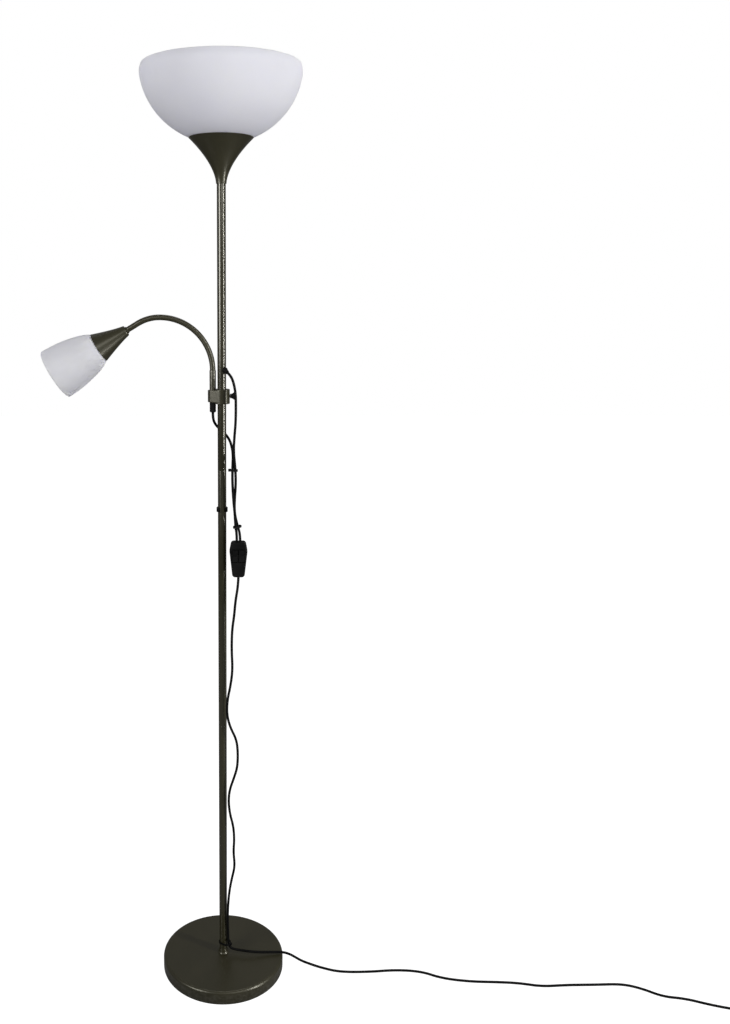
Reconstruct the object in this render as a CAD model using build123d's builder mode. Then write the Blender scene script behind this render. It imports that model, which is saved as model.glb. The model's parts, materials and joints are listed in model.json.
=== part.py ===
from build123d import *

import os
from math import acos, atan2, cos, pi, radians, sin, sqrt, tan

# A floor lamp with a bowl uplight on a round foot and a reading head on a flexible neck.
# Millimetres. The origin is on the floor under the pole, +Z is up, and the front is -Y.

# ---- driving dimensions ---------------------------------------------------------------

lamp_h = 1760.0  # floor to the bowl's rim

base_r = 125.0
base_h = 27.5
base_edge_r = 6.0  # rolled edge of the pressed cover
sheet_t = 1.2  # pressed steel sheet
pad_t = 2.0
thread_r = 5.0  # the threaded tube and stud that hold the lamp together

pole_r = 8.0
pole_wall = 0.8
pole_joints_z = (543.0, 1057.0)  # where the three tubes meet
pole_top_z = 1575.0
clip_z = 982.5

cup_foot_z = 1567.5  # the uplight's trumpet cup
cup_foot_r = 9.3
cup_rim_z = 1643.2
cup_rim_r = 56.6
cup_curve = 1.68  # power of the trumpet's flare
cup_t = 1.0

bowl_r = 141.0
bowl_depth = 126.0  # depth of the half ellipse that the bowl follows
bowl_t = 3.0
bowl_hole_r = 21.0

arm_x = -16.6  # the reading arm's tube stands this far from the pole's axis
clamp_z = (1182.0, 1208.6)
lug_z = (1185.0, 1207.0)
boss_r = 14.7
lug_r = 9.1
liner_r = 9.6
slide_gap = 0.05  # radial clearance of a sliding or turning fit
screw_z = 1196.0
screw_r = 2.5
knob_x = (15.2, 26.4)

hose_r = 5.2  # the flexible neck
ferrule_r = 5.9
ferrule_top_z = 1242.7
ball_r = 4.0
socket_r = 4.1
stem_r = 2.8
bore_r = 1.7
neck_joints = 10
head_tilt = 31.0  # the head's axis points this many degrees below the horizontal
rise_r = 95.0  # the neck's bend as it rises to its top
fall_r = 78.0  # and from its top down to the head
neck_end_len = 32.3  # from the last ball to the head's cup

head_cup_len = 59.0
head_cup_r = (9.7, 27.3)
head_cup_curve = 1.2
head_shade_r = (25.6, 47.4)
head_shade_s = (56.0, 153.5)  # from the cup's small end, along the head's axis
head_shade_curve = 0.63
head_shade_t = 2.5

cord_r = 2.5
switch_centre = (30.8, -20.0)
switch_z = (857.0, 925.0)
switch_depth = 21.0
shell_t = 1.6

floor_z = cord_r  # height of a cord's centreline on the floor
coil_centre = (1048.0, -176.0)
coil_mid_r = 27.5
coil_z = (1.2, 11.4)
plug_t = 13.7

tie_w = 4.0
tie_t = 1.2
lock_w = 4.8
lock_size = (3.6, 4.6)

# ---- helpers --------------------------------------------------------------------------


def axial(origin, axis):
    """A plane that holds the axis: its own Y runs along it and its own X is the radius."""
    along = Vector(*axis).normalized()
    radial = Vector(0, 1, 0).cross(along).normalized()
    return Plane(origin=origin, x_dir=radial, z_dir=radial.cross(along))


def outline(plane, *points):
    """A straight-edged outline on a plane, as a face."""
    with BuildSketch(plane) as face:
        with BuildLine():
            Polyline(*points, close=True)
        make_face()
    return face.sketch


def walled_curve(plane, radius_at, start, end, wall, ends, stations=9):
    """The section of a flaring wall. radius_at gives the outer radius at a height, the
    inner line stands a wall's thickness inside it, and ends are the points that close
    the section at its foot, from the inner line round to the outer one."""
    outer, inner = [], []
    for i in range(stations):
        s = start + (end - start) * i / (stations - 1)
        step = 0.01 * (end - start)
        slope = (radius_at(min(s + step, end)) - radius_at(max(s - step, start))) / (
            min(s + step, end) - max(s - step, start)
        )
        size = sqrt(1 + slope * slope)
        outer.append((radius_at(s), s))
        inner.append((radius_at(s) - wall / size, s + wall * slope / size))
    with BuildSketch(plane) as face:
        with BuildLine():
            Spline(*outer)
            Line(outer[-1], inner[-1])
            Spline(*reversed(inner))
            Polyline(inner[0], *ends, outer[0])
        make_face()
    return face.sketch


def bulb_section(plane, neck_r, neck_s, globe_r, globe_s, wall):
    """A lamp bulb's glass: a globe with a cone tangent to it, down to the neck."""

    def tangent(r):
        away = sqrt(neck_r**2 + (globe_s - neck_s) ** 2)
        angle = atan2(neck_s - globe_s, neck_r) + acos(r / away)
        return (r * cos(angle), globe_s + r * sin(angle)), angle

    (outer_p, outer_a), (inner_p, inner_a) = tangent(globe_r), tangent(globe_r - wall)
    with BuildSketch(plane) as face:
        with BuildLine():
            Line((neck_r, neck_s), outer_p)
            middle = (outer_a + pi / 2) / 2
            ThreePointArc(
                outer_p,
                (globe_r * cos(middle), globe_s + globe_r * sin(middle)),
                (0, globe_s + globe_r),
            )
            Line((0, globe_s + globe_r), (0, globe_s + globe_r - wall))
            middle = (inner_a + pi / 2) / 2
            inner_r = globe_r - wall
            ThreePointArc(
                (0, globe_s + inner_r),
                (inner_r * cos(middle), globe_s + inner_r * sin(middle)),
                inner_p,
            )
            Line(inner_p, (neck_r - wall, neck_s))
            Line((neck_r - wall, neck_s), (neck_r, neck_s))
        make_face()
    return face.sketch


def save(name, piece):
    piece.part.label = name
    export_step(piece.part, f"parts/{name}.step")


os.makedirs("parts", exist_ok=True)
upright = axial((0, 0, 0), (0, 0, 1))

# ---- foot -----------------------------------------------------------------------------

weight_r = base_r - sheet_t - 0.3
pocket_r = 16.0
pocket_top_z = 12.0

# the soft pad that the lamp stands on
with BuildPart() as base_pad:
    with BuildSketch(Plane.XY):
        Circle(weight_r - 1.5)
    extrude(amount=pad_t)
save("base_pad", base_pad)

# the cast weight, with a pocket below for the nut
with BuildPart() as base_weight:
    revolve(
        outline(
            upright,
            (pocket_r, pad_t),
            (weight_r, pad_t),
            (weight_r, base_h - sheet_t - base_edge_r),
            (weight_r - base_edge_r, base_h - sheet_t),
            (thread_r + 0.3, base_h - sheet_t),
            (thread_r + 0.3, pocket_top_z),
            (pocket_r, pocket_top_z),
        )
    )
save("base_weight", base_weight)

# the pressed cover, a shallow round lid with a rolled edge
with BuildPart() as base_cover:
    with BuildSketch(Plane.XY.offset(0.6)):
        Circle(base_r)
    extrude(amount=base_h - 0.6)
    fillet(base_cover.faces().sort_by(Axis.Z)[-1].edges(), base_edge_r)
    offset(amount=-sheet_t, openings=base_cover.faces().sort_by(Axis.Z)[0])
    with BuildSketch(Plane.XY):
        Circle(thread_r + 0.2)
    extrude(amount=base_h + 1, mode=Mode.SUBTRACT)
save("base_cover", base_cover)

stud_z = (3.0, 50.0)
with BuildPart() as foot_stud:
    with BuildSketch(Plane.XY.offset(stud_z[0])):
        Circle(thread_r)
    extrude(amount=stud_z[1] - stud_z[0])
    chamfer(foot_stud.edges(), 0.6)
save("foot_stud", foot_stud)

# the nut in the weight's pocket, with a flange that takes the pull
flange_t = 1.5
flange_r = 13.5
nut_h = 6.0
nut_flat_r = 8.5  # half the width across its flats
with BuildPart() as foot_nut:
    with BuildSketch(Plane.XY.offset(pocket_top_z - flange_t)):
        Circle(flange_r)
        Circle(thread_r, mode=Mode.SUBTRACT)
    extrude(amount=flange_t)
    with BuildSketch(Plane.XY.offset(pocket_top_z - flange_t - nut_h)):
        RegularPolygon(radius=nut_flat_r, side_count=6, major_radius=False)
        Circle(thread_r, mode=Mode.SUBTRACT)
    extrude(amount=nut_h)
save("foot_nut", foot_nut)

# the flared ring that hides the pole's foot
collar_h = 9.5
collar_r = (11.6, 9.7, 9.0)  # at its foot, part of the way up and at its top
snug = 0.05  # a ring stands this far off the tube that it sits on
collar_lip = base_h + 0.9
with BuildPart() as foot_collar:
    with BuildSketch(upright):
        with BuildLine():
            Polyline(
                (pole_r + snug, base_h + collar_h),
                (pole_r + snug, base_h),
                (collar_r[0], base_h),
                (collar_r[0], collar_lip),
            )
            ThreePointArc(
                (collar_r[0], collar_lip),
                (collar_r[1], base_h + 3.6),
                (collar_r[2], base_h + collar_h),
            )
            Line((collar_r[2], base_h + collar_h), (pole_r + snug, base_h + collar_h))
        make_face()
    revolve()
save("foot_collar", foot_collar)

# ---- pole -----------------------------------------------------------------------------

pole_in = pole_r - pole_wall
bush_z = 1248.5  # where the exit bush's axis meets the pole's
bush_turn, bush_drop = radians(-47), radians(-30)
bush_dir = Vector(
    cos(bush_drop) * cos(bush_turn), cos(bush_drop) * sin(bush_turn), sin(bush_drop)
)
bush_r = 3.4
bush_axis = axial((0, 0, bush_z), tuple(bush_dir))
bush_mouth = 17.5  # how far its outer end is from the pole's axis
bush_seat = 8.3  # and the back of its head, which lies against the pole
bush_head_r = 5.4


def pole_tube(z0, z1):
    with BuildPart() as tube:
        with BuildSketch(Plane.XY.offset(z0)):
            Circle(pole_r)
            Circle(pole_in, mode=Mode.SUBTRACT)
        extrude(amount=z1 - z0)
    return tube


pole_lower = pole_tube(base_h, pole_joints_z[0])
pole_middle = pole_tube(*pole_joints_z)
save("pole_lower", pole_lower)
save("pole_middle", pole_middle)

with BuildPart() as pole_upper:
    add(pole_tube(pole_joints_z[1], pole_top_z).part)
    with BuildSketch(Plane(origin=(0, 0, bush_z), z_dir=bush_dir)):
        Circle(bush_r)
    extrude(amount=12, mode=Mode.SUBTRACT)
save("pole_upper", pole_upper)

# the sleeves inside the pole, across its two joints
joiner_half = 22.0
joiner_wall = 1.5
with BuildPart() as pole_joiners:
    for joint_z in pole_joints_z:
        with BuildSketch(Plane.XY.offset(joint_z - joiner_half)):
            Circle(pole_in)
            Circle(pole_in - joiner_wall, mode=Mode.SUBTRACT)
        extrude(amount=2 * joiner_half)
save("pole_joiners", pole_joiners)

# the plugs that take the foot's stud and the cup's nipple
end_plug_h = 22.0
with BuildPart() as pole_plugs:
    for end_plug_z in (base_h + 0.5, pole_top_z - end_plug_h - 0.5):
        with BuildSketch(Plane.XY.offset(end_plug_z)):
            Circle(pole_in)
            Circle(thread_r, mode=Mode.SUBTRACT)
        extrude(amount=end_plug_h)
save("pole_plugs", pole_plugs)

# a split ring on the pole, open at the front
clip_h, clip_t = 8.0, 2.6
clip_mouth = 11.0
with BuildPart() as pole_clip:
    with BuildSketch(Plane.XY.offset(clip_z - clip_h / 2)):
        Circle(pole_r + clip_t)
        Circle(pole_r, mode=Mode.SUBTRACT)
        with Locations((0, -pole_r - clip_t)):
            Rectangle(clip_mouth, 2 * pole_r, mode=Mode.SUBTRACT)
    extrude(amount=clip_h)
save("pole_clip", pole_clip)

# the rubber bush that the uplight's lead leaves the pole by
with BuildPart() as exit_bush:
    revolve(
        outline(
            bush_axis,
            (cord_r, bush_seat - 0.1),
            (bush_r, bush_seat - 0.1),
            (bush_r, bush_seat),
            (bush_head_r, bush_seat),
            (bush_head_r, bush_seat + 3.1),
            (cord_r + 1.1, bush_mouth),
            (cord_r, bush_mouth),
        ),
        axis=Axis((0, 0, bush_z), bush_dir),
    )
    with BuildSketch(Plane.XY.offset(bush_z - 20)):
        Circle(pole_r)
        Circle(pole_in, mode=Mode.SUBTRACT)
    wall = extrude(amount=40, mode=Mode.PRIVATE)
    shank = Solid.make_cylinder(
        bush_r, 12, Plane(origin=(0, 0, bush_z), z_dir=bush_dir)
    )
    add(wall - shank, mode=Mode.SUBTRACT)
save("exit_bush", exit_bush)

# ---- uplight --------------------------------------------------------------------------


def cup_radius(z):
    up = (z - cup_foot_z) / (cup_rim_z - cup_foot_z)
    return cup_foot_r + (cup_rim_r - cup_foot_r) * up**cup_curve


floor_t = 2.0  # the cup's inner floor, which stands on the pole's end
with BuildPart() as uplight_cup:
    revolve(
        walled_curve(
            upright,
            cup_radius,
            pole_top_z + floor_t,
            cup_rim_z,
            cup_t,
            (
                (thread_r + 0.1, pole_top_z + floor_t),
                (thread_r + 0.1, pole_top_z),
                (pole_r + snug, pole_top_z),
                (pole_r + snug, cup_foot_z),
                (cup_foot_r, cup_foot_z),
                (cup_foot_r, cup_foot_z + 2.0),
            ),
        )
    )
save("uplight_cup", uplight_cup)

# the threaded tube that holds cup and lampholder on the pole, with its nut
nipple_z = (pole_top_z - 20.0, 1592.0)
nipple_bore_r = 3.4
with BuildPart() as uplight_nipple:
    with BuildSketch(Plane.XY.offset(nipple_z[0])):
        Circle(thread_r)
        Circle(nipple_bore_r, mode=Mode.SUBTRACT)
    extrude(amount=nipple_z[1] - nipple_z[0])
    with BuildSketch(Plane.XY.offset(pole_top_z + floor_t + 0.9)):
        RegularPolygon(radius=7.0, side_count=6, major_radius=False)
        Circle(thread_r - 0.5, mode=Mode.SUBTRACT)
    extrude(amount=4.0)
save("uplight_nipple", uplight_nipple)

bowl_seat_z = lamp_h - bowl_depth * sqrt(1 - (bowl_hole_r / bowl_r) ** 2)
holder_z = (1583.0, 1648.0)
holder_r = 19.5
holder_flange_r = 26.0
holder_flange_z = bowl_seat_z - 0.4
socket_bore_r = 13.8  # where the bulb's cap screws in
socket_floor_z = 1618.0
with BuildPart() as uplight_lampholder:
    revolve(
        outline(
            upright,
            (thread_r, holder_z[0]),
            (8.6, holder_z[0]),
            (13.4, holder_z[0] + 15.0),
            (holder_r, holder_z[0] + 27.0),
            (holder_r, holder_flange_z - 3.0),
            (holder_flange_r, holder_flange_z - 3.0),
            (holder_flange_r, holder_flange_z),
            (holder_r, holder_flange_z),
            (holder_r, holder_z[1]),
            (socket_bore_r, holder_z[1]),
            (socket_bore_r, socket_floor_z),
            (nipple_bore_r, socket_floor_z),
            (nipple_bore_r, nipple_z[1]),
            (thread_r, nipple_z[1]),
        )
    )
save("uplight_lampholder", uplight_lampholder)

# the ring that screws down on the bowl's floor
ring_z = bowl_seat_z + bowl_t + 1.6
ring_r = 27.0
with BuildPart() as uplight_shade_ring:
    with BuildSketch(Plane.XY.offset(ring_z)):
        Circle(ring_r)
        Circle(holder_r, mode=Mode.SUBTRACT)
    extrude(amount=6.0)
    chamfer(uplight_shade_ring.faces().sort_by(Axis.Z)[-1].edges(), 0.8)
save("uplight_shade_ring", uplight_shade_ring)

# the opal bowl: half an ellipse turned round the pole's axis
bowl_in_r = bowl_r - bowl_t
bowl_in_depth = bowl_depth - bowl_t
with BuildPart() as uplight_shade:
    with BuildSketch(upright):
        with BuildLine():
            outer = EllipticalCenterArc(
                (0, lamp_h),
                bowl_r,
                bowl_depth,
                start_angle=-acos(bowl_hole_r / bowl_r) * 180 / pi,
                arc_size=acos(bowl_hole_r / bowl_r) * 180 / pi,
            )
            inner = EllipticalCenterArc(
                (0, lamp_h),
                bowl_in_r,
                bowl_in_depth,
                start_angle=-acos(bowl_hole_r / bowl_in_r) * 180 / pi,
                arc_size=acos(bowl_hole_r / bowl_in_r) * 180 / pi,
            )
            Line(outer @ 1, inner @ 1)
            Line(outer @ 0, inner @ 0)
        make_face()
    revolve()
    fillet(uplight_shade.edges().group_by(Axis.Z)[-1], 1.2)
save("uplight_shade", uplight_shade)

bulb_neck_r = 13.2
bulb_r = 30.0
bulb_z = 1700.0  # the globe's centre
with BuildPart() as uplight_bulb_glass:
    revolve(bulb_section(upright, bulb_neck_r, holder_z[1] + 0.2, bulb_r, bulb_z, 1.2))
save("uplight_bulb_glass", uplight_bulb_glass)

# the bulb's screw cap, a thin cup with a contact at its end
cap_z = holder_z[1]
with BuildPart() as uplight_bulb_cap:
    revolve(
        outline(
            upright,
            (0, cap_z - 25.0),
            (4.0, cap_z - 25.0),
            (4.0, cap_z - 23.0),
            (11.0, cap_z - 20.0),
            (bulb_neck_r, cap_z - 18.0),
            (bulb_neck_r, cap_z),
            (bulb_neck_r - 1.0, cap_z),
            (bulb_neck_r - 1.0, cap_z - 17.0),
            (0, cap_z - 20.0),
        )
    )
save("uplight_bulb_cap", uplight_bulb_cap)

# ---- cords ----------------------------------------------------------------------------


def corner_radii(points):
    """The largest arc that each corner's two runs allow."""
    radii = []
    for before, corner, after in zip(points, points[1:], points[2:]):
        first, second = Vector(*corner) - Vector(*before), Vector(*after) - Vector(*corner)
        turn = radians(first.get_angle(second))
        radii.append(0.45 * min(first.length, second.length) / tan(turn / 2))
    return radii


def cord(name, points):
    """A round cord along straight runs joined by tangent arcs."""
    radii = corner_radii(points)
    with BuildPart() as piece:
        with BuildLine() as route:
            FilletPolyline(*points, radius=radii)
        start = Vector(*points[0])
        with BuildSketch(Plane(origin=start, z_dir=Vector(*points[1]) - start)):
            Circle(cord_r)
        sweep(path=route.line)
    length = sum(edge.length for edge in route.edges())
    drift = piece.part.volume / (pi * cord_r**2 * length) - 1
    runs = [(Vector(*b) - Vector(*a)).length for a, b in zip(points, points[1:])]
    print(
        f"{name}: {length:.0f} long, tightest {min(radii):.1f} at {radii.index(min(radii)) + 1},"
        f" runs {min(runs):.0f} to {max(runs):.0f}, volume off by {drift:.5f}"
    )
    save(name, piece)
    return piece


def along_bush(distance):
    point = Vector(0, 0, bush_z) + bush_dir * distance
    return (point.X, point.Y, point.Z)


# inside the pole, from the bush up to the lampholder
cord("pole_lead", [along_bush(bush_mouth), (0, 0, bush_z), (0, 0, 1590.0)])

# from the bush down beside the pole into the switch
switch_x, switch_y = switch_centre
entry_gap = 3.2  # the two leads enter the switch this far each side of its middle
cord(
    "uplight_cord",
    [
        along_bush(bush_mouth),
        along_bush(28.0),
        (21.8, -22.6, 1222.0),
        (25.4, -25.4, 1203.0),
        (25.8, -25.6, 1178.0),
        (25.4, -24.8, 1150.0),
        (23.0, -23.6, 1122.0),
        (21.6, -23.0, 1096.0),
        (25.0, -22.0, 1064.0),
        (25.8, -20.6, 1034.0),
        (23.6, -17.6, 1006.0),
        (23.4, -16.8, 978.0),
        (29.4, -17.6, 954.0),
        (switch_x + entry_gap, switch_y, 938.0),
        (switch_x + entry_gap, switch_y, switch_z[1]),
    ],
)

# from the arm's gland round behind the pole, in two lengths that meet end to end
gland_z = 1166.0
lead_split = (-1.0, 15.6, 1130.0)
cord(
    "arm_cord_upper",
    [
        (arm_x, 0, gland_z),
        (arm_x, 0, 1157.0),
        (-14.4, 6.4, 1146.5),
        (-9.0, 13.2, 1137.5),
        lead_split,
    ],
)
cord(
    "arm_cord_lower",
    [
        lead_split,
        (7.0, 18.0, 1122.5),
        (14.6, 12.0, 1112.0),
        (19.0, 1.0, 1099.0),
        (20.6, -12.0, 1086.0),
        (19.8, -20.0, 1072.0),
        (19.2, -21.2, 1042.0),
        (21.2, -23.4, 1006.0),
        (24.0, -23.2, 978.0),
        (25.2, -22.2, 954.0),
        (switch_x - entry_gap, switch_y, 939.0),
        (switch_x - entry_gap, switch_y, switch_z[1]),
    ],
)

# from the switch down to the foot, over the base's edge and along the floor
coil_x, coil_y = coil_centre
cord(
    "mains_cord",
    [
        (switch_x, switch_y, switch_z[0]),
        (30.2, -20.0, 838.0),
        (25.2, -20.2, 808.0),
        (22.8, -19.4, 778.0),
        (18.6, -18.4, 748.0),
        (17.8, -17.4, 706.0),
        (19.8, -16.2, 666.0),
        (15.6, -15.2, 632.0),
        (9.4, -14.2, 602.0),
        (8.4, -14.0, 572.0),
        (14.4, -15.2, 546.0),
        (27.2, -17.2, 520.0),
        (30.2, -18.0, 494.0),
        (29.4, -16.8, 460.0),
        (22.0, -15.0, 434.0),
        (13.6, -13.2, 408.0),
        (11.4, -12.2, 382.0),
        (14.2, -12.0, 354.0),
        (21.0, -12.2, 328.0),
        (23.2, -12.6, 298.0),
        (21.2, -12.2, 268.0),
        (24.4, -12.0, 236.0),
        (17.8, -11.2, 206.0),
        (12.8, -10.2, 176.0),
        (10.0, -9.2, 140.0),
        (9.2, -8.0, 104.0),
        (10.2, -6.8, 76.0),
        (10.6, -6.3, 56.0),
        (11.6, -6.3, 47.0),
        (16.4, -6.6, 40.0),
        (26.0, -8.6, 38.0),
        (40.0, -12.8, 38.8),
        (58.0, -14.4, 37.2),
        (79.0, -12.6, 34.4),
        (102.0, -9.8, 32.6),
        (124.5, -8.4, 31.8),
        (139.0, -8.2, 27.0),
        (152.0, -7.0, 18.0),
        (164.0, -6.2, 9.4),
        (182.0, -9.0, 3.6),
        (206.0, -19.6, floor_z),
        (242.0, -32.4, floor_z),
        (302.0, -32.4, floor_z),
        (362.0, -26.0, floor_z),
        (414.0, -31.4, floor_z),
        (450.0, -51.0, floor_z),
        (506.0, -61.2, floor_z),
        (566.0, -62.8, floor_z),
        (608.0, -66.0, floor_z),
        (650.0, -75.6, floor_z),
        (702.0, -71.2, floor_z),
        (760.0, -70.6, floor_z),
        (816.0, -68.2, floor_z),
        (851.0, -81.4, floor_z),
        (884.0, -104.6, floor_z),
        (926.0, -110.2, floor_z),
        (966.0, -126.6, floor_z),
        (1006.0, -139.0, floor_z),
        (1034.0, -144.2, floor_z + 0.6),
        (coil_x + 4.0, coil_y + coil_mid_r + cord_r, coil_z[0] + cord_r),
    ],
)

# the length that is put away: a neat round coil with a tie, and its tail to the plug
with BuildPart() as mains_coil:
    with BuildSketch(Plane(origin=(coil_x, coil_y, coil_z[0]))):
        Circle(coil_mid_r + 2 * cord_r)
        Circle(coil_mid_r - 2 * cord_r, mode=Mode.SUBTRACT)
    extrude(amount=coil_z[1] - coil_z[0])
    fillet(mains_coil.edges(), 2.2)
save("mains_coil", mains_coil)

plug_dir = Vector(-0.35, -1.0, 0).normalized()
plug_entry = Vector(coil_x + 21.0, coil_y - 50.0, plug_t / 2)
tail_turn = plug_entry - plug_dir * 14
cord(
    "mains_tail",
    [
        (coil_x + coil_mid_r + cord_r, coil_y - 4.0, coil_z[1] - cord_r - 0.1),
        (coil_x + coil_mid_r + cord_r, coil_y - 20.0, coil_z[1] - cord_r - 0.6),
        tuple(tail_turn),
        tuple(plug_entry),
    ],
)

# a flat two-pin plug, whose strain relief tapers towards the lead
plug_plane = Plane(origin=plug_entry, x_dir=plug_dir, z_dir=(0, 0, 1))
relief_len = 24.0
plug_face = relief_len + 27.0  # from the lead's end to the face that the pins stand on
plug_side = ((-30.0, 4.5), (-21.0, 12.5), (-9.0, 17.6), (0.0, 16.2))
with BuildPart() as plug_body:
    with BuildSketch(plug_plane.offset(-plug_t / 2)):
        with BuildLine():
            near = [(plug_face + x, -y) for x, y in plug_side]
            far = [(plug_face + x, y) for x, y in reversed(plug_side)]
            Polyline(*near, *far, close=True)
        make_face()
    extrude(amount=plug_t)
    fillet(plug_body.edges().filter_by(Axis.Z), 2.0)
    fillet(plug_body.faces().sort_by(Axis.Z)[-1].edges(), 2.4)
    fillet(plug_body.faces().sort_by(Axis.Z)[0].edges(), 2.4)
    revolve(
        outline(
            plug_plane,
            (0, 0),
            (0, 3.3),
            (relief_len, 5.2),
            (relief_len, 0),
        ),
        axis=Axis(plug_entry, plug_dir),
    )
save("plug_body", plug_body)

pin_gap, pin_len, pin_r = 18.6, 19.0, 2.0
with BuildPart() as plug_pins:
    for side in (-1, 1):
        root = plug_plane.from_local_coords(Vector(plug_face, side * pin_gap / 2, 0))
        with BuildSketch(Plane(origin=root, z_dir=plug_dir)):
            Circle(pin_r)
        extrude(amount=pin_len)
    fillet(plug_pins.faces().sort_by(Axis(plug_entry, plug_dir))[-2:].edges(), 1.2)
save("plug_pins", plug_pins)

# ties: a flat band round two leads, or round a lead and the pole


def band(x, y, z, across, deep, turn=0.0):
    """A closed band of an oval section, standing on end, with its lock at one side."""
    with BuildPart() as loop:
        with BuildSketch(Plane.XY.offset(z - tie_w / 2)) as ring:
            with Locations(Location((x, y), turn)):
                SlotOverall(across + 2 * tie_t, deep + 2 * tie_t)
                SlotOverall(across, deep, mode=Mode.SUBTRACT)
        extrude(amount=tie_w)
        with BuildSketch(Plane.XY.offset(z - lock_w / 2)):
            with Locations(Location((x, y), turn)):
                with Locations((across / 2 + tie_t + 1.4, 0)):
                    Rectangle(*lock_size)
        extrude(amount=lock_w)
    return loop.part


with BuildPart() as cord_ties:
    add(band(22.25, -21.2, 1061.0, 12.2, 6.6, 164))
    add(band(27.4, -19.9, 953.0, 13.4, 7.6, 47))
save("cord_ties", cord_ties)

with BuildPart() as foot_tie:
    add(band(3.3, -1.98, 51.5, 24.0, 16.4, -31))
save("foot_tie", foot_tie)

# the tie round the coil's turns, with its lock on top
tie_angle = radians(215)
with BuildPart() as coil_tie:
    tie_plane = Plane(
        origin=(
            coil_x + coil_mid_r * cos(tie_angle),
            coil_y + coil_mid_r * sin(tie_angle),
            (coil_z[0] + coil_z[1]) / 2,
        ),
        x_dir=(cos(tie_angle), sin(tie_angle), 0),
        z_dir=(sin(tie_angle), -cos(tie_angle), 0),
    )
    coil_w, coil_h = 4 * cord_r, coil_z[1] - coil_z[0]
    with BuildSketch(tie_plane.offset(-tie_w / 2)):
        RectangleRounded(coil_w + 2.8, coil_h + 2.2, 2.8)
        RectangleRounded(coil_w + 0.6, coil_h + 0.3, 2.2, mode=Mode.SUBTRACT)
    extrude(amount=tie_w)
    with BuildSketch(tie_plane.offset(-lock_w / 2)):
        with Locations((0, coil_h / 2 + 2.2)):
            Rectangle(4.4, 2.6)
    extrude(amount=lock_w)
save("coil_tie", coil_tie)

# ---- reading arm's clamp --------------------------------------------------------------

# the split sleeve that slides on the pole
with BuildPart() as clamp_liner:
    with BuildSketch(Plane.XY.offset(clamp_z[0] + 1.0)):
        Circle(liner_r)
        Circle(pole_r + slide_gap, mode=Mode.SUBTRACT)
        with Locations((0, liner_r)):
            Rectangle(1.6, 6.0, mode=Mode.SUBTRACT)
    extrude(amount=clamp_z[1] - clamp_z[0] - 2.0)
save("clamp_liner", clamp_liner)

# the clamp's body: a boss round the pole and a lug that carries the arm
with BuildPart() as clamp_boss:
    with BuildSketch(Plane.XY.offset(clamp_z[0])):
        Circle(boss_r)
    extrude(amount=clamp_z[1] - clamp_z[0])
    fillet(clamp_boss.edges().filter_by(GeomType.CIRCLE), 1.0)

with BuildPart() as clamp_body:
    with BuildSketch(Plane.XY.offset(lug_z[0])):
        Circle(boss_r)
        with Locations((arm_x, 0)):
            Circle(lug_r)
        make_hull()
    extrude(amount=lug_z[1] - lug_z[0])
    fillet(clamp_body.faces().filter_by(Axis.Z).edges(), 1.0)
    add(clamp_boss.part)
    with BuildSketch(Plane.XY.offset(clamp_z[0])):
        Circle(liner_r + slide_gap)
        with Locations((arm_x, 0)):
            Circle(ferrule_r)
    extrude(amount=clamp_z[1] - clamp_z[0], mode=Mode.SUBTRACT)
    with BuildSketch(Plane.YZ.offset(liner_r - 1.0)):
        with Locations((0, screw_z)):
            Circle(screw_r + slide_gap)
    extrude(amount=boss_r, mode=Mode.SUBTRACT)
save("clamp_body", clamp_body)

# the thumb screw and its knob, which turn about X
knob_axis = Axis((0, 0, screw_z), (1, 0, 0))
knob_plane = axial((0, 0, screw_z), (1, 0, 0))
with BuildPart() as clamp_screw:
    revolve(
        outline(
            knob_plane,
            (0, liner_r + 0.3),
            (screw_r - 0.5, liner_r + 0.3),
            (screw_r, liner_r + 0.8),
            (screw_r, knob_x[0] + 8.0),
            (0, knob_x[0] + 8.0),
        ),
        axis=knob_axis,
    )
save("clamp_screw", clamp_screw)

knob_r = 7.0
flute_r = 1.2
with BuildPart() as clamp_knob:
    revolve(
        outline(
            knob_plane,
            (screw_r, knob_x[0]),
            (4.4, knob_x[0]),
            (3.9, knob_x[0] + 1.4),
            (4.6, knob_x[0] + 4.0),
            (knob_r, knob_x[0] + 7.6),
            (knob_r, knob_x[1] - 1.0),
            (knob_r - 1.0, knob_x[1]),
            (0, knob_x[1]),
            (0, knob_x[0] + 8.0),
            (screw_r, knob_x[0] + 8.0),
        ),
        axis=knob_axis,
    )
    with BuildSketch(Plane.YZ.offset(knob_x[0] + 4.6)):
        with Locations((0, screw_z)):
            with PolarLocations(knob_r + 0.5, 8):
                Circle(flute_r)
    extrude(amount=knob_x[1] - knob_x[0], mode=Mode.SUBTRACT)
save("clamp_knob", clamp_knob)

# the black gland that the arm's lead leaves by, below the clamp
gland_top_z = lug_z[0] + 4.0
with BuildPart() as arm_gland:
    revolve(
        outline(
            axial((arm_x, 0, 0), (0, 0, 1)),
            (bore_r, gland_z),
            (4.6, gland_z),
            (ferrule_r, gland_z + 2.2),
            (ferrule_r, gland_top_z),
            (bore_r, gland_top_z),
        ),
        axis=Axis((arm_x, 0, 0), (0, 0, 1)),
    )
save("arm_gland", arm_gland)

# ---- flexible neck --------------------------------------------------------------------

neck_turn = (90 + head_tilt) / neck_joints
half_step = tan(radians(neck_turn / 2))
mouth = 1.2  # a socket's mouth stands this far past its ball's centre
shoulder = 3.8  # a link's body stops this far before the ball on its end


def neck_points():
    """The ball centres: the corners of a line that turns by the same angle at each."""
    points = [Vector(arm_x, 0, ferrule_top_z + rise_r * half_step)]
    for k in range(1, neck_joints):
        heading = radians(neck_turn * k)
        step = 2 * (rise_r if neck_turn * k < 90 else fall_r) * half_step
        points.append(points[-1] + Vector(-sin(heading), 0, cos(heading)) * step)
    return points


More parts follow.
